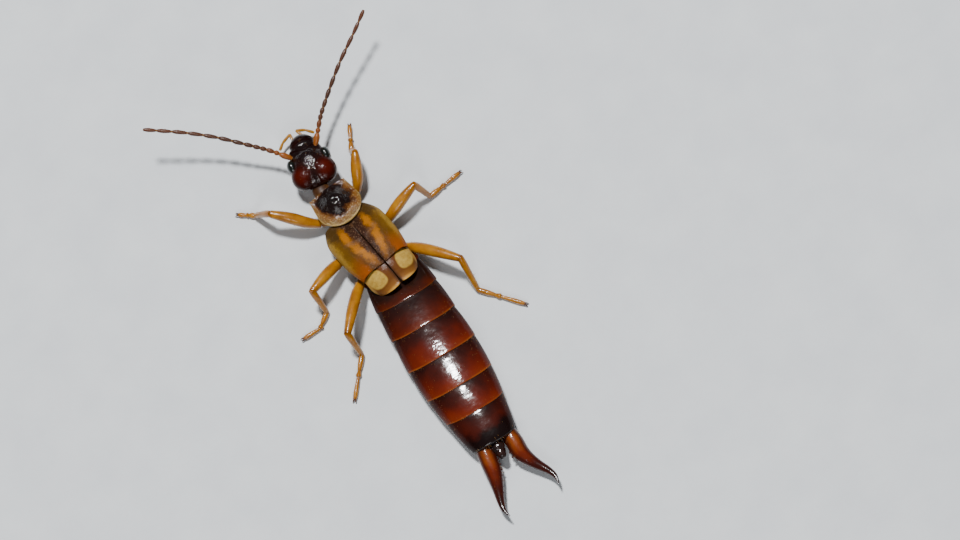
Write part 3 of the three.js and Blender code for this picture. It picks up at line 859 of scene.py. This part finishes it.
def wing_case_point(sign):
    def place(u, v):
        front = lerp(CASE_FRONT_AT_SEAM, CASE_FRONT, smoothstep(0.0, 0.5, u))
        rear = -0.04 - 0.05 * math.sin(u * math.pi) - 0.22 * smoothstep(0.8, 1.0, u) ** 2
        y = lerp(front, rear, v)
        shoulder = 0.27 * max(0, 1 - v / 0.38) ** 2.2
        taper = 0.13 * max(0, (v - 0.62) / 0.38) ** 1.8
        x = lerp(SEAM_HALF, CASE_HALF_WIDTH - shoulder - taper, math.sin(u * math.pi / 2) ** 0.86)
        side_edge = lerp(0.72, 0.86, smoothstep(0, 0.4, v))
        valley = -0.03 * math.exp(-(x / 0.07) ** 2)
        z = lerp(through(CASE_CROWN, v), side_edge, u ** 2.6) + valley
        return sign * x, y, z
    return place


def make_back_shell(name, rule, sign, columns, rows, wall, edge):
    """A shell of one side of the back. The rule mirrors its points, so the right one is flipped."""
    piece = sheet_by_rule(name, rule(sign), columns, rows)
    if sign < 0:
        only(piece)
        bpy.ops.object.mode_set(mode="EDIT")
        bpy.ops.mesh.select_all(action="SELECT")
        bpy.ops.mesh.flip_normals()
        bpy.ops.object.mode_set(mode="OBJECT")
    places = points_of(piece)
    write_attribute(piece, "side_mm", np.abs(places[:, 0]))
    write_attribute(piece, "tail_mm", places[:, 1])
    return shell_from(piece, wall, edge)


WING_CASE = wing_case_finish()
for side, sign in (("left", 1), ("right", -1)):
    case = make_back_shell(f"wing_case_{side}", wing_case_point, sign, 34, 56, 0.045, 0.014)
    settle(case, THORAX, WING_CASE, [f"elytron_{side}"], angle=75)

# %% [markdown]
# The folded hind wings peep out behind the wing cases as two leathery tips. Each has a pale yellow
# spot and a golden rim at its back edge.

# %% Wing tips
def wing_tip_finish():
    f = Finish("wing_tip_leather", 0.45, coat=0.12, coat_roughness=0.15, specular=0.04)
    wobble = f.spread(f.noise(4, detail=2), 0.3, 0.7, -0.012, 0.012)
    side = f.attribute("side_mm")
    tail = f.attribute("tail_mm")
    x = f.math("ADD", side, wobble)
    y = f.math("ADD", tail, wobble)
    slanted = f.math("ADD", side, f.math("MULTIPLY", tail, 0.22))
    spot = oval(f, slanted, tail, (0.6, 0.19), (0.27, 0.31), 0.11, 2.6)
    base = f.ramp(y, [
        (0.0, (0.1, 0.03, 0.006)), (0.5, (0.12, 0.042, 0.008)), (0.68, (0.2, 0.08, 0.016)),
        (0.79, (0.55, 0.28, 0.05)),
    ])
    base = f.mix(f.spread(x, 0.14, 0.03, 0, 0.85), base, (0.05, 0.018, 0.008))
    base = f.mix(f.spread(x, 0.76, 0.88, 0, 0.7), base, (0.42, 0.25, 0.06))
    yellow = f.ramp(f.noise(9, detail=3), [(0.3, (0.33, 0.19, 0.03)), (0.7, (0.48, 0.31, 0.065))])
    f.colour(f.mix(spot, base, yellow))
    f.bump((f.noise(7, detail=3), 0.012), (f.noise(30), 0.005))
    return f.material


TIP_FRONT = -0.5
TIP_REAR = 0.8
TIP_HALF_WIDTH = 0.9
TIP_CORNER = 0.74
TIP_BEND = 0.2


def tip_rear(x):
    """The back edge of a wing tip: full near the seam, rounded off at the side."""
    inner = 0.03 * smoothstep(0.2, 0.0, x)
    outer = 0.62 * (1 - math.sqrt(max(0, 1 - (max(0, x - 0.28) / 0.63) ** 2)))
    return TIP_REAR - inner - outer


def wing_tip_point(sign):
    side_rear = tip_rear(TIP_CORNER)

    def place(u, v):
        side_y = lerp(TIP_FRONT, side_rear, v)
        past_bend = max(0, (side_y - TIP_BEND) / (side_rear - TIP_BEND))
        outer = lerp(TIP_HALF_WIDTH, TIP_CORNER, past_bend ** 2)
        inner = 0.02 + 0.03 * smoothstep(0.85, 1, v)
        x = lerp(inner, outer, u)
        y = lerp(TIP_FRONT, tip_rear(lerp(inner, TIP_CORNER, u)), v)
        z = lerp(1.39, 0.98, u ** 2.6) - 0.13 * smoothstep(0.45, 1, v)
        return sign * x, y, z
    return place


WING_TIP = wing_tip_finish()
for side, sign in (("left", 1), ("right", -1)):
    tip = make_back_shell(f"wing_tip_{side}_leather", wing_tip_point, sign, 26, 30, 0.04, 0.012)
    settle(tip, THORAX, WING_TIP, [f"wing_tip_{side}"], angle=75)

# %% [markdown]
# The abdomen is a row of rings that slide into each other like a telescope. Each ring is a circle
# extruded backwards step by step and resized at every step: it starts under the ring before it, swells
# a little, ends in a rounded lip and turns back inside. The attribute 'along' runs over the part that
# shows, and gives each ring its dark front and its thin orange rear edge.

# %% Abdomen rings
PLATE_ENDS = [0.35, 1.3, 2.4, 3.6, 4.75, 5.74, 6.88]
PLATE_HALF_WIDTHS = [1.02, 1.13, 1.19, 1.25, 1.2, 1.06, 0.82]
PLATE_TOPS = [0.86, 1.08, 1.2, 1.26, 1.24, 1.16, 1.0]
BELLY_LEVEL = 0.52
BELLY_GAP = 0.012
WAIST = (-0.5, 0.8, 0.78 - BELLY_LEVEL)
ABDOMEN_SIDES = 48
ROUNDED_LIP = [
    (-0.05, 1.002, 1.004, 0.95), (-0.01, 0.998, 0.998, 0.985), (0, 0.99, 0.984, 1.0),
    (-0.015, 0.975, 0.965, 1.0), (-0.14, 0.955, 0.93, 1.0),
]
BLUNT_END = [
    (-0.1, 1.0, 1.0, 0.93), (-0.03, 0.98, 0.97, 0.97), (0, 0.9, 0.86, 1.0), (0.01, 0.6, 0.5, 1.0),
]


def extruded_ring(name, section, stations):
    """A closed body along +Y. section gives the first outline, stations (y, half width, top, along)."""
    deselect()
    bpy.ops.mesh.primitive_circle_add(
        vertices=len(section), radius=1, fill_type="NGON", rotation=(math.pi / 2, 0, 0),
    )
    piece = bpy.context.object
    bpy.ops.object.transform_apply(location=False, rotation=True, scale=False)
    y, width, top, _ = stations[0]
    move_points(piece, [(x * width, y, z * top) for x, z in section])
    bpy.ops.object.mode_set(mode="EDIT")
    bpy.ops.mesh.select_all(action="SELECT")
    for before, now in zip(stations, stations[1:]):
        bpy.ops.mesh.extrude_region_move(TRANSFORM_OT_translate={"value": (0, now[0] - before[0], 0)})
        bpy.ops.transform.resize(
            value=(now[1] / before[1], 1, now[2] / before[2]), center_override=(0, now[0], 0),
        )
    bpy.ops.object.mode_set(mode="OBJECT")
    piece.name = name
    last = len(stations) - 1
    order = np.arange(len(piece.data.vertices)) // len(section)
    write_attribute(piece, "along", [stations[min(i, last)][3] for i in order])
    return piece


def abdomen_section():
    """A low dome above and a flatter belly below, with a fold along each side where they meet."""
    outline = []
    for i in range(ABDOMEN_SIDES):
        a = 2 * math.pi * i / ABDOMEN_SIDES
        x = math.copysign(abs(math.cos(a)) ** 0.94, math.cos(a))
        z = math.sin(a)
        if z < -0.05:
            x *= 0.93
            z *= 0.66
        outline.append((x, z))
    return outline


def ring_stations(start, end, last):
    """The steps of one ring. start and end are (y, half width, height above the belly level)."""
    y0, w0, h0 = start
    y1, w1, h1 = end
    stations = [
        (y0 - 0.2, w0 * 0.94, h0 * 0.92, 0.0),
        (y0 - 0.04, w0 * 0.972, h0 * 0.958, 0.02),
        (y0 + 0.05, w0 * 0.985, h0 * 0.975, 0.06),
    ]
    for t, wider, higher in ((0.3, 1.004, 1.0), (0.6, 1.01, 1.015), (0.85, 1.006, 1.012)):
        stations.append((lerp(y0, y1, t), lerp(w0, w1, t) * wider, lerp(h0, h1, t) * higher, t))
    lip = BLUNT_END if last else ROUNDED_LIP
    return stations + [(y1 + y, w1 * w, h1 * h, along) for y, w, h, along in lip]


def make_abdomen():
    section = abdomen_section()
    rings = []
    last = len(PLATE_ENDS) - 1
    start = WAIST
    for i, (end_y, width, top) in enumerate(zip(PLATE_ENDS, PLATE_HALF_WIDTHS, PLATE_TOPS)):
        end = (end_y, width, top - BELLY_LEVEL)
        ring = extruded_ring("ring", section, ring_stations(start, end, i == last))
        places = points_of(ring)
        side = np.clip(np.abs(places[:, 0]) / width, 0, 1)
        slide = 0.2 * side ** 3 + 0.07 * side ** 9
        if i == last:
            slide *= 1 - 0.35 * np.clip((places[:, 1] - start[0]) / (end_y - start[0]), 0, 1)
        places[:, 1] -= slide
        places[:, 0] += ABDOMEN_X
        places[:, 2] += BELLY_LEVEL
        move_points(ring, places)
        write_attribute(ring, "tone", np.full(len(places), i / last))
        write_attribute(ring, "side", side)
        subdivide_smooth(ring, 2)
        rings.append(ring)
        start = end
    piece = join("abdomen_rings", rings)
    places = points_of(piece)
    lifted = np.clip(places[:, 2], BELLY_GAP, None)
    places[:, 2] = np.where(places[:, 2] < 0.3, lifted, places[:, 2])
    move_points(piece, places)
    return piece


def abdomen_finish():
    f = Finish("abdomen_shell", 0.35, coat_roughness=0.09, specular=0.05)
    along = f.attribute("along")
    tone = f.attribute("tone")
    side = f.attribute("side")
    patch = f.spread(f.noise(1.8, detail=4), 0.25, 0.75, -0.14, 0.14)
    place = f.math("ADD", along, patch, clamp=True)
    ringed = f.ramp(place, [
        (0.0, (0.016, 0.003, 0.002)), (0.3, (0.038, 0.005, 0.0025)), (0.6, (0.08, 0.007, 0.002)),
        (0.85, (0.12, 0.011, 0.002)), (1.0, (0.14, 0.016, 0.0025)),
    ])
    front_dark = f.spread(tone, 0.55, 0.15)
    front_rings = f.ramp(place, [
        (0.0, (0.007, 0.003, 0.0025)), (0.55, (0.014, 0.004, 0.002)), (0.85, (0.045, 0.006, 0.0015)),
        (1.0, (0.06, 0.008, 0.002)),
    ])
    body = f.mix(front_dark, ringed, front_rings)
    rear = f.math("MULTIPLY", f.spread(tone, 0.9, 1.0), f.spread(place, 0.3, 0.75))
    body = f.mix(rear, body, (0.006, 0.0015, 0.0012))
    body = f.mix(f.spread(side, 0.75, 1.0, 0, 0.5), body, (0.02, 0.003, 0.002))
    edge = f.math("MULTIPLY", f.spread(along, 0.94, 0.985), f.spread(tone, 0.97, 0.7))
    edge = f.math("MULTIPLY", edge, f.spread(tone, 0.05, 0.45, 0.0, 1.0))
    edge = f.math("MULTIPLY", edge, f.spread(f.noise(3, detail=2), 0.3, 0.6, 0.55, 1.0))
    edge = f.math("MULTIPLY", edge, f.spread(side, 0.0, 0.7, 0.45, 0.85))
    f.colour(f.mix(edge, body, (0.26, 0.064, 0.006)))
    f.feed(f.shader.inputs["Coat Roughness"], f.spread(f.noise(6, detail=3), 0.3, 0.7, 0.06, 0.16))
    f.bump((f.noise(2.2, detail=2, stretch=(1, 1.4, 1)), 0.012), (f.noise(9, detail=2), 0.0022),
           (f.noise(30, detail=2), 0.0008))
    f.coat(f.spread(side, 0.5, 0.9, 0.85, 0.12))
    return f.material


ABDOMEN_SHELL = abdomen_finish()
abdomen = make_abdomen()
settle(abdomen, BODY, ABDOMEN_SHELL, ["abdomen"], angle=50)

# %% [markdown]
# The last ring carries a small black knob between the forceps. The forceps are the animal's sign: two
# slender arms, thick and flat at the root, with a hooked tip. A tube gives their taper, and a row of
# small teeth lines the inner side near the root.

# %% Forceps and end knob
def forceps_finish():
    f = Finish("forceps_shell", 0.3, coat=0.6, coat_roughness=0.1, specular=0.1)
    wobble = f.spread(f.noise(3, detail=3), 0.3, 0.7, -0.05, 0.05)
    along = f.math("ADD", f.attribute("along"), wobble, clamp=True)
    core = f.ramp(along, [
        (0.0, (0.09, 0.02, 0.003)), (0.16, (0.19, 0.038, 0.003)), (0.34, (0.12, 0.013, 0.002)),
        (0.55, (0.04, 0.004, 0.0015)), (0.8, (0.014, 0.003, 0.002)), (1.0, (0.005, 0.003, 0.003)),
    ])
    flank = f.spread(f.attribute("flank"), 0.3, 0.8, 0, 0.9)
    f.colour(f.mix(flank, core, (0.035, 0.004, 0.002)))
    f.bump((f.noise(5, detail=3, stretch=(1, 0.4, 1)), 0.014), (f.noise(26), 0.003))
    return f.material


FORCEPS_PATHS = {
    "left": [(0.55, 6.7, 0.56), (0.6, 7.0, 0.54), (0.67, 7.6, 0.47), (0.84, 8.15, 0.4),
             (1.0, 8.62, 0.41), (1.03, 8.92, 0.46), (0.95, 9.12, 0.5)],
    "right": [(-0.36, 6.7, 0.56), (-0.4, 7.0, 0.54), (-0.37, 7.5, 0.47), (-0.6, 8.0, 0.4),
              (-0.9, 8.5, 0.41), (-0.97, 8.83, 0.46), (-0.9, 9.02, 0.5)],
}
FORCEPS_RADII = [0.27, 0.3, 0.29, 0.18, 0.11, 0.06, 0.012]
FORCEPS_FLATNESS = 0.78
TEETH = 7
FIRST_TOOTH_Y = 7.3
TOOTH_STEP = 0.17


def make_tooth(x, y, z, radius, inner, along):
    """One tooth on the inner side of an arm. inner is -1 or 1, the way that it points."""
    root = (x + inner * radius * 0.7, y, z)
    middle = (x + inner * (radius + 0.008), y, z)
    tip = (x + inner * (radius + 0.03), y + 0.01, z)
    tooth = tube("tooth", [root, middle, tip], [0.05, 0.035, 0.008], around=4)
    count = len(tooth.data.vertices)
    write_attribute(tooth, "flank", np.full(count, 0.9))
    tooth.data.attributes["along"].data.foreach_set("value", np.full(count, along, dtype=np.float32))
    return tooth


def make_forceps(side):
    path = FORCEPS_PATHS[side]
    arm = tube("arm", path, FORCEPS_RADII, around=10, steps=10)
    xs, ys, zs = np.array(path).T

    def core(y):
        return [np.interp(y, ys, values) for values in (xs, zs, FORCEPS_RADII)]

    places = points_of(arm)
    middle_x, middle_z, radius = core(places[:, 1])
    flank = np.clip(np.abs(places[:, 0] - middle_x) / np.maximum(radius, 0.01), 0, 1)
    write_attribute(arm, "flank", flank)
    places[:, 2] = middle_z + (places[:, 2] - middle_z) * FORCEPS_FLATNESS
    move_points(arm, places)
    inner = -1 if side == "left" else 1
    teeth = []
    for k in range(TEETH):
        y = FIRST_TOOTH_Y + TOOTH_STEP * k
        x, z, r = [float(value) for value in core(y)]
        teeth.append(make_tooth(x, y, z, r, inner, 0.3 + 0.08 * k))
    return join(f"forceps_arm_{side}", [arm, *teeth])


FORCEPS_SHELL = forceps_finish()
arms = [
    settle(make_forceps(side), BODY, FORCEPS_SHELL, [f"forceps_{side}"])
    for side in ("left", "right")
]


def knob_finish():
    f = Finish("knob_shell", 0.25, coat=0.9, coat_roughness=0.06, specular=0.2)
    f.mottle(6, (0.006, 0.004, 0.004), (0.03, 0.01, 0.007))
    f.bump((f.noise(7, detail=3), 0.02))
    return f.material


knob = melt([
    ball("knob", (0.16, 7.2, 0.62), (0.15, 0.22, 0.16)),
    ball("knob_root", (0.15, 6.98, 0.62), (0.24, 0.2, 0.2)),
    ball("knob_left", (0.26, 7.12, 0.6), (0.09, 0.14, 0.1)),
    ball("knob_right", (0.06, 7.12, 0.6), (0.09, 0.14, 0.1)),
], "end_knob", 0.018, 4)
settle(knob, BODY, knob_finish(), ["pygidium"])

# %% [markdown]
# A leg has a short hip, a thick thigh, a slender shin, a foot of three joints and two claws. Each is a
# tube of its own, so that the joints show. The tubes of a leg are joined to one piece, and its two claws
# to another. The foot lies on the floor.

# %% Legs
LEG_JOINTS = {
    "front_left": {"knee": (2.56, -3.56, 1.06), "ankle": (2.98, -4.1, 0.12), "toe": (3.42, -4.42, 0.1)},
    "front_right": {"knee": (-0.82, -3.9, 1.06), "ankle": (-0.78, -4.32, 0.12), "toe": (-1.15, -5.12, 0.1)},
    "middle_left": {"knee": (2.68, -0.56, 1.06), "ankle": (2.6, 0.0, 0.12), "toe": (3.66, 0.36, 0.1),
                    "bend": (3.05, 0.34, 0.1)},
    "middle_right": {"knee": (-1.9, -1.92, 1.06), "ankle": (-2.2, -1.62, 0.12), "toe": (-3.4, -1.82, 0.1)},
    "hind_left": {"knee": (2.42, 1.3, 1.1), "ankle": (2.34, 1.84, 0.12), "toe": (3.27, 3.0, 0.1)},
    "hind_right": {"knee": (-1.95, 1.05, 1.1), "ankle": (-1.95, 1.94, 0.12), "toe": (-3.0, 3.14, 0.1)},
}

HIP_RADII = [0.2, 0.21, 0.15]
THIGH_RADII = [0.13, 0.185, 0.2, 0.165, 0.12]
SHIN_RADII = [0.105, 0.125, 0.105, 0.095, 0.08]
CLAW_RADII = [0.036, 0.026, 0.006]
CLAW_SPREAD = 38


def leg_finish():
    f = Finish("leg_shell", 0.34, coat=0.5, coat_roughness=0.1, specular=0.25)
    along = f.attribute("along")
    patch = f.spread(f.noise(2.2, detail=4), 0.25, 0.75, -0.3, 0.3)
    base = f.ramp(f.math("ADD", 0.5, patch), [
        (0.1, (0.2, 0.066, 0.002)), (0.5, (0.33, 0.125, 0.003)), (0.9, (0.43, 0.185, 0.006)),
    ])
    joint = f.math("MAXIMUM", f.spread(along, 0.07, 0.0, 0, 0.5), f.spread(along, 0.93, 1.0, 0, 0.6))
    f.colour(f.mix(joint, base, (0.14, 0.035, 0.003)))
    f.bump((f.noise(7, detail=3), 0.01), (f.noise(30, detail=2), 0.003))
    f.shader.inputs["Subsurface Weight"].default_value = 0.12
    f.shader.inputs["Subsurface Radius"].default_value = (0.0003, 0.00014, 0.00005)
    f.shader.inputs["Subsurface Scale"].default_value = 1.0
    return f.material


def claw_finish():
    f = Finish("claw_horn", 0.3, coat=0.5, coat_roughness=0.1)
    f.mottle(8, (0.05, 0.014, 0.004), (0.12, 0.036, 0.006))
    f.bump((f.noise(20), 0.002))
    return f.material


def between(a, b, t, lift=0.0):
    """The place at a share t of the way from a to b, raised by lift."""
    x, y, z = (lerp(p, q, t) for p, q in zip(a, b))
    return x, y, z + lift


def bend_of(joints):
    """The place where the foot's second joint ends: given, or halfway from the ankle to the toe."""
    return joints.get("bend") or between(joints["ankle"], joints["toe"], 0.5)


def make_leg(name):
    place, sign, y = HIPS[name]
    joints = LEG_JOINTS[name]
    root = on(place, sign * 0.38, y, 0.45)
    hip = on(place, sign * 0.78, y, 0.42)
    thigh_start = on(place, sign * 0.9, y, 0.46)
    knee, ankle, toe = joints["knee"], joints["ankle"], joints["toe"]
    bend = bend_of(joints)
    thigh = [hip] + [
        between(thigh_start, knee, t, lift) for t, lift in ((0.2, 0.05), (0.5, 0.12), (0.8, 0.07), (1.0, 0.0))
    ]
    shin = [
        between(knee, ankle, t, lift) for t, lift in ((-0.04, 0.02), (0.12, 0.05), (0.5, 0.06), (0.85, 0.02))
    ] + [ankle]
    parts = [
        tube("hip", [root, between(root, hip, 0.5), hip], HIP_RADII, around=8),
        tube("thigh", thigh, THIGH_RADII, around=10, steps=8),
        tube("shin", shin, SHIN_RADII, around=8, steps=8),
    ]
    foot = [
        (ankle, between(ankle, bend, 0.72), 0.098, 0.076),
        (between(ankle, bend, 0.7), bend, 0.064, 0.09),
        (bend, toe, 0.064, 0.074),
    ]
    for start, end, r0, r1 in foot:
        line = [start, between(start, end, 0.3), between(start, end, 0.75), end]
        parts.append(tube("foot_joint", line, [r0 * 0.85, r0, r1 * 1.12, r1 * 0.8], around=8))
    return join(f"leg_{name}_shell", parts)


def make_claws(name):
    joints = LEG_JOINTS[name]
    toe = Vector(joints["toe"])
    ahead = (toe - Vector(bend_of(joints))).normalized()
    claws = []
    for turn_by in (-1, 1):
        out = Matrix.Rotation(math.radians(turn_by * CLAW_SPREAD), 3, "Z") @ ahead
        start = toe - ahead * 0.04
        mid = toe + out * 0.07 + Vector((0, 0, 0.02))
        end = toe + out * 0.08 + ahead * 0.06
        end.z = 0.022
        claws.append(tube("claw", [tuple(start), tuple(mid), tuple(end)], CLAW_RADII, around=5))
    return join(f"claws_{name}", claws)


LEG_SHELL = leg_finish()
CLAW_HORN = claw_finish()
legs = []
for name in LEG_JOINTS:
    legs.append(settle(make_leg(name), BODY, LEG_SHELL, [f"leg_{name}"]))
    settle(make_claws(name), BODY, CLAW_HORN)

# %% [markdown]
# Fine bristles stand on the legs, the feelers, the abdomen, the forceps and the head. One bristle is a
# slim pointed cone. There are thousands of them, so their places come from numbers: a spot on the
# surface is drawn at random, from a fixed seed, and the cone is laid there, leaning towards the tail,
# the toe or the feeler's tip. All bristles of one part are one mesh.

# %% Bristles
def bristle_finish():
    f = Finish("bristle_horn", 0.45, specular=0.3)
    f.mottle(6, (0.12, 0.05, 0.01), (0.3, 0.15, 0.03))
    f.bump((f.noise(20), 0.001))
    return f.material


BRISTLE_HORN = bristle_finish()


def surface_spots(piece, count, seed, keep):
    """Random places on a piece's surface, each with the surface's normal."""
    rng = np.random.default_rng(seed)
    mesh = piece.data
    mesh.calc_loop_triangles()
    corners = np.empty(len(mesh.loop_triangles) * 3, dtype=np.int32)
    mesh.loop_triangles.foreach_get("vertices", corners)
    triangles = points_of(piece)[corners.reshape(-1, 3)]
    normals = np.cross(triangles[:, 1] - triangles[:, 0], triangles[:, 2] - triangles[:, 0])
    areas = np.linalg.norm(normals, axis=1)
    normals /= np.maximum(areas, 1e-20)[:, None]
    weights = areas.copy()
    if keep is not None:
        middles = (triangles.mean(axis=1) - np.array(SHIFT)) / MM
        weights = weights * keep(middles, normals)
    chosen = rng.choice(len(areas), count, p=weights / weights.sum())
    a, b = rng.random(count), rng.random(count)
    over = a + b > 1
    a[over], b[over] = 1 - a[over], 1 - b[over]
    t = triangles[chosen]
    spots = t[:, 0] + a[:, None] * (t[:, 1] - t[:, 0]) + b[:, None] * (t[:, 2] - t[:, 0])
    return spots, normals[chosen], rng


def patch_place(spot, normal):
    """Where a bristle's colour patch lies on a flat map: the back on the left half, the belly right."""
    box_low, box_high = CAD_BOX
    across = (spot[0] - box_low.x) / (box_high.x - box_low.x)
    along = (spot[1] - box_low.y) / (box_high.y - box_low.y)
    return np.clip(np.array((across / 2 + (0 if normal[2] > 0 else 0.5), along)), 0.004, 0.996)


SUNK_SHARE = 0.12
LOWEST_BRISTLE = 0.002 * MM


def bristles(name, pieces, count, length, radius, lean, keep=None, lift=0.55):
    """Lays count cones, sized in mm, on each piece. lean(spots) is the way that they lean."""
    deselect()
    bpy.ops.mesh.primitive_cone_add(vertices=3, radius1=1, radius2=0, depth=1)
    cone = bpy.context.object
    shape = points_of(cone) + np.array((0, 0, 0.5))
    faces = [list(face.vertices) for face in cone.data.polygons]
    bpy.ops.object.delete()
    points, all_faces, patches = [], [], []
    for index, piece in enumerate(pieces):
        spots, normals, rng = surface_spots(piece, count, 7 + index, keep)
        ahead = lean(spots) + rng.normal(0, 0.16, spots.shape)
        along = normals * lift + ahead * (1 - lift)
        along /= np.linalg.norm(along, axis=1)[:, None]
        side = np.cross(along, np.where(np.abs(along[:, 2:]) > 0.9, (1.0, 0, 0), (0, 0, 1.0)))
        side /= np.linalg.norm(side, axis=1)[:, None]
        up = np.cross(along, side)
        long = length * MM * rng.uniform(0.55, 1.15, len(spots))
        for k in range(len(spots)):
            root = spots[k] - along[k] * long[k] * SUNK_SHARE
            width = (shape[:, :1] * side[k] + shape[:, 1:2] * up[k]) * radius * MM
            cone_points = root + width + shape[:, 2:] * along[k] * long[k]
            cone_points[:, 2] = np.maximum(cone_points[:, 2], LOWEST_BRISTLE)
            first = len(points) * len(shape)
            all_faces.extend([[first + v for v in face] for face in faces])
            points.append(cone_points)
            patches.append(patch_place(spots[k], normals[k]) + shape[:, [0, 2]] * 0.0015)
    mesh = bpy.data.meshes.new(name)
    mesh.from_pydata(np.concatenate(points).tolist(), [], all_faces)
    made = bpy.data.objects.new(name, mesh)
    bpy.context.collection.objects.link(made)
    flat = np.concatenate(patches)
    corners = np.empty(len(mesh.loops), dtype=np.int32)
    mesh.loops.foreach_get("vertex_index", corners)
    mesh.uv_layers.new(name="OFBake").data.foreach_set("uv", flat[corners].astype(np.float32).ravel())
    tidy_mesh(made, 1e-9)
    made.data.materials.append(BRISTLE_HORN)
    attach(made, "root")
    print(name, len(points), "bristles")
    return made


def towards_tail(spots):
    return np.tile(np.array((0, 1.0, 0)), (len(spots), 1))


def away_from_body(spots):
    out = spots - np.array(SHIFT) - np.array((0.2 * MM, 0, 0))
    out[:, 1] *= 0.4
    out[:, 2] = -0.4 * MM
    return out / np.linalg.norm(out, axis=1)[:, None]


def ahead_of_head(spots):
    out = spots - np.array(SHIFT) - np.array((0.5 * MM, -4.4 * MM, 1.0 * MM))
    return out / np.linalg.norm(out, axis=1)[:, None]


def lower_leg(middles, normals):
    return np.where(middles[:, 2] < 0.85, 1.0, 0.25)


def back_and_sides(middles, normals):
    edge = np.min([np.abs(middles[:, 1] + 0.04 - end) for end in PLATE_ENDS], axis=0)
    flank = np.abs(middles[:, 0] - ABDOMEN_X) > 0.8
    return (middles[:, 2] > 0.3) * (middles[:, 1] > 0.9) * (np.where(edge < 0.14, 1.0, 0.1) + 0.5 * flank)


bristles("leg_bristles", legs, 260, 0.1, 0.0045, away_from_body, lower_leg)
bristles("feeler_bristles", feelers, 420, 0.055, 0.003, ahead_of_head)
bristles(
    "abdomen_bristles", [abdomen], 700, 0.13, 0.0045, towards_tail, back_and_sides, lift=0.35
)
bristles("forceps_bristles", arms, 60, 0.14, 0.0045, towards_tail)
bristles("head_bristles", [head], 60, 0.1, 0.004, ahead_of_head)

# %% Sizes
low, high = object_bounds()
sizes = {
    "cad": [list(CAD_BOX[0]), list(CAD_BOX[1])],
    "visual": [list(low), list(high)],
}
for i, axis in enumerate("xyz"):
    solids, dressed = ([round(corner[i] / MM, 2) for corner in box] for box in sizes.values())
    print(axis, "solids", solids, "dressed", dressed)
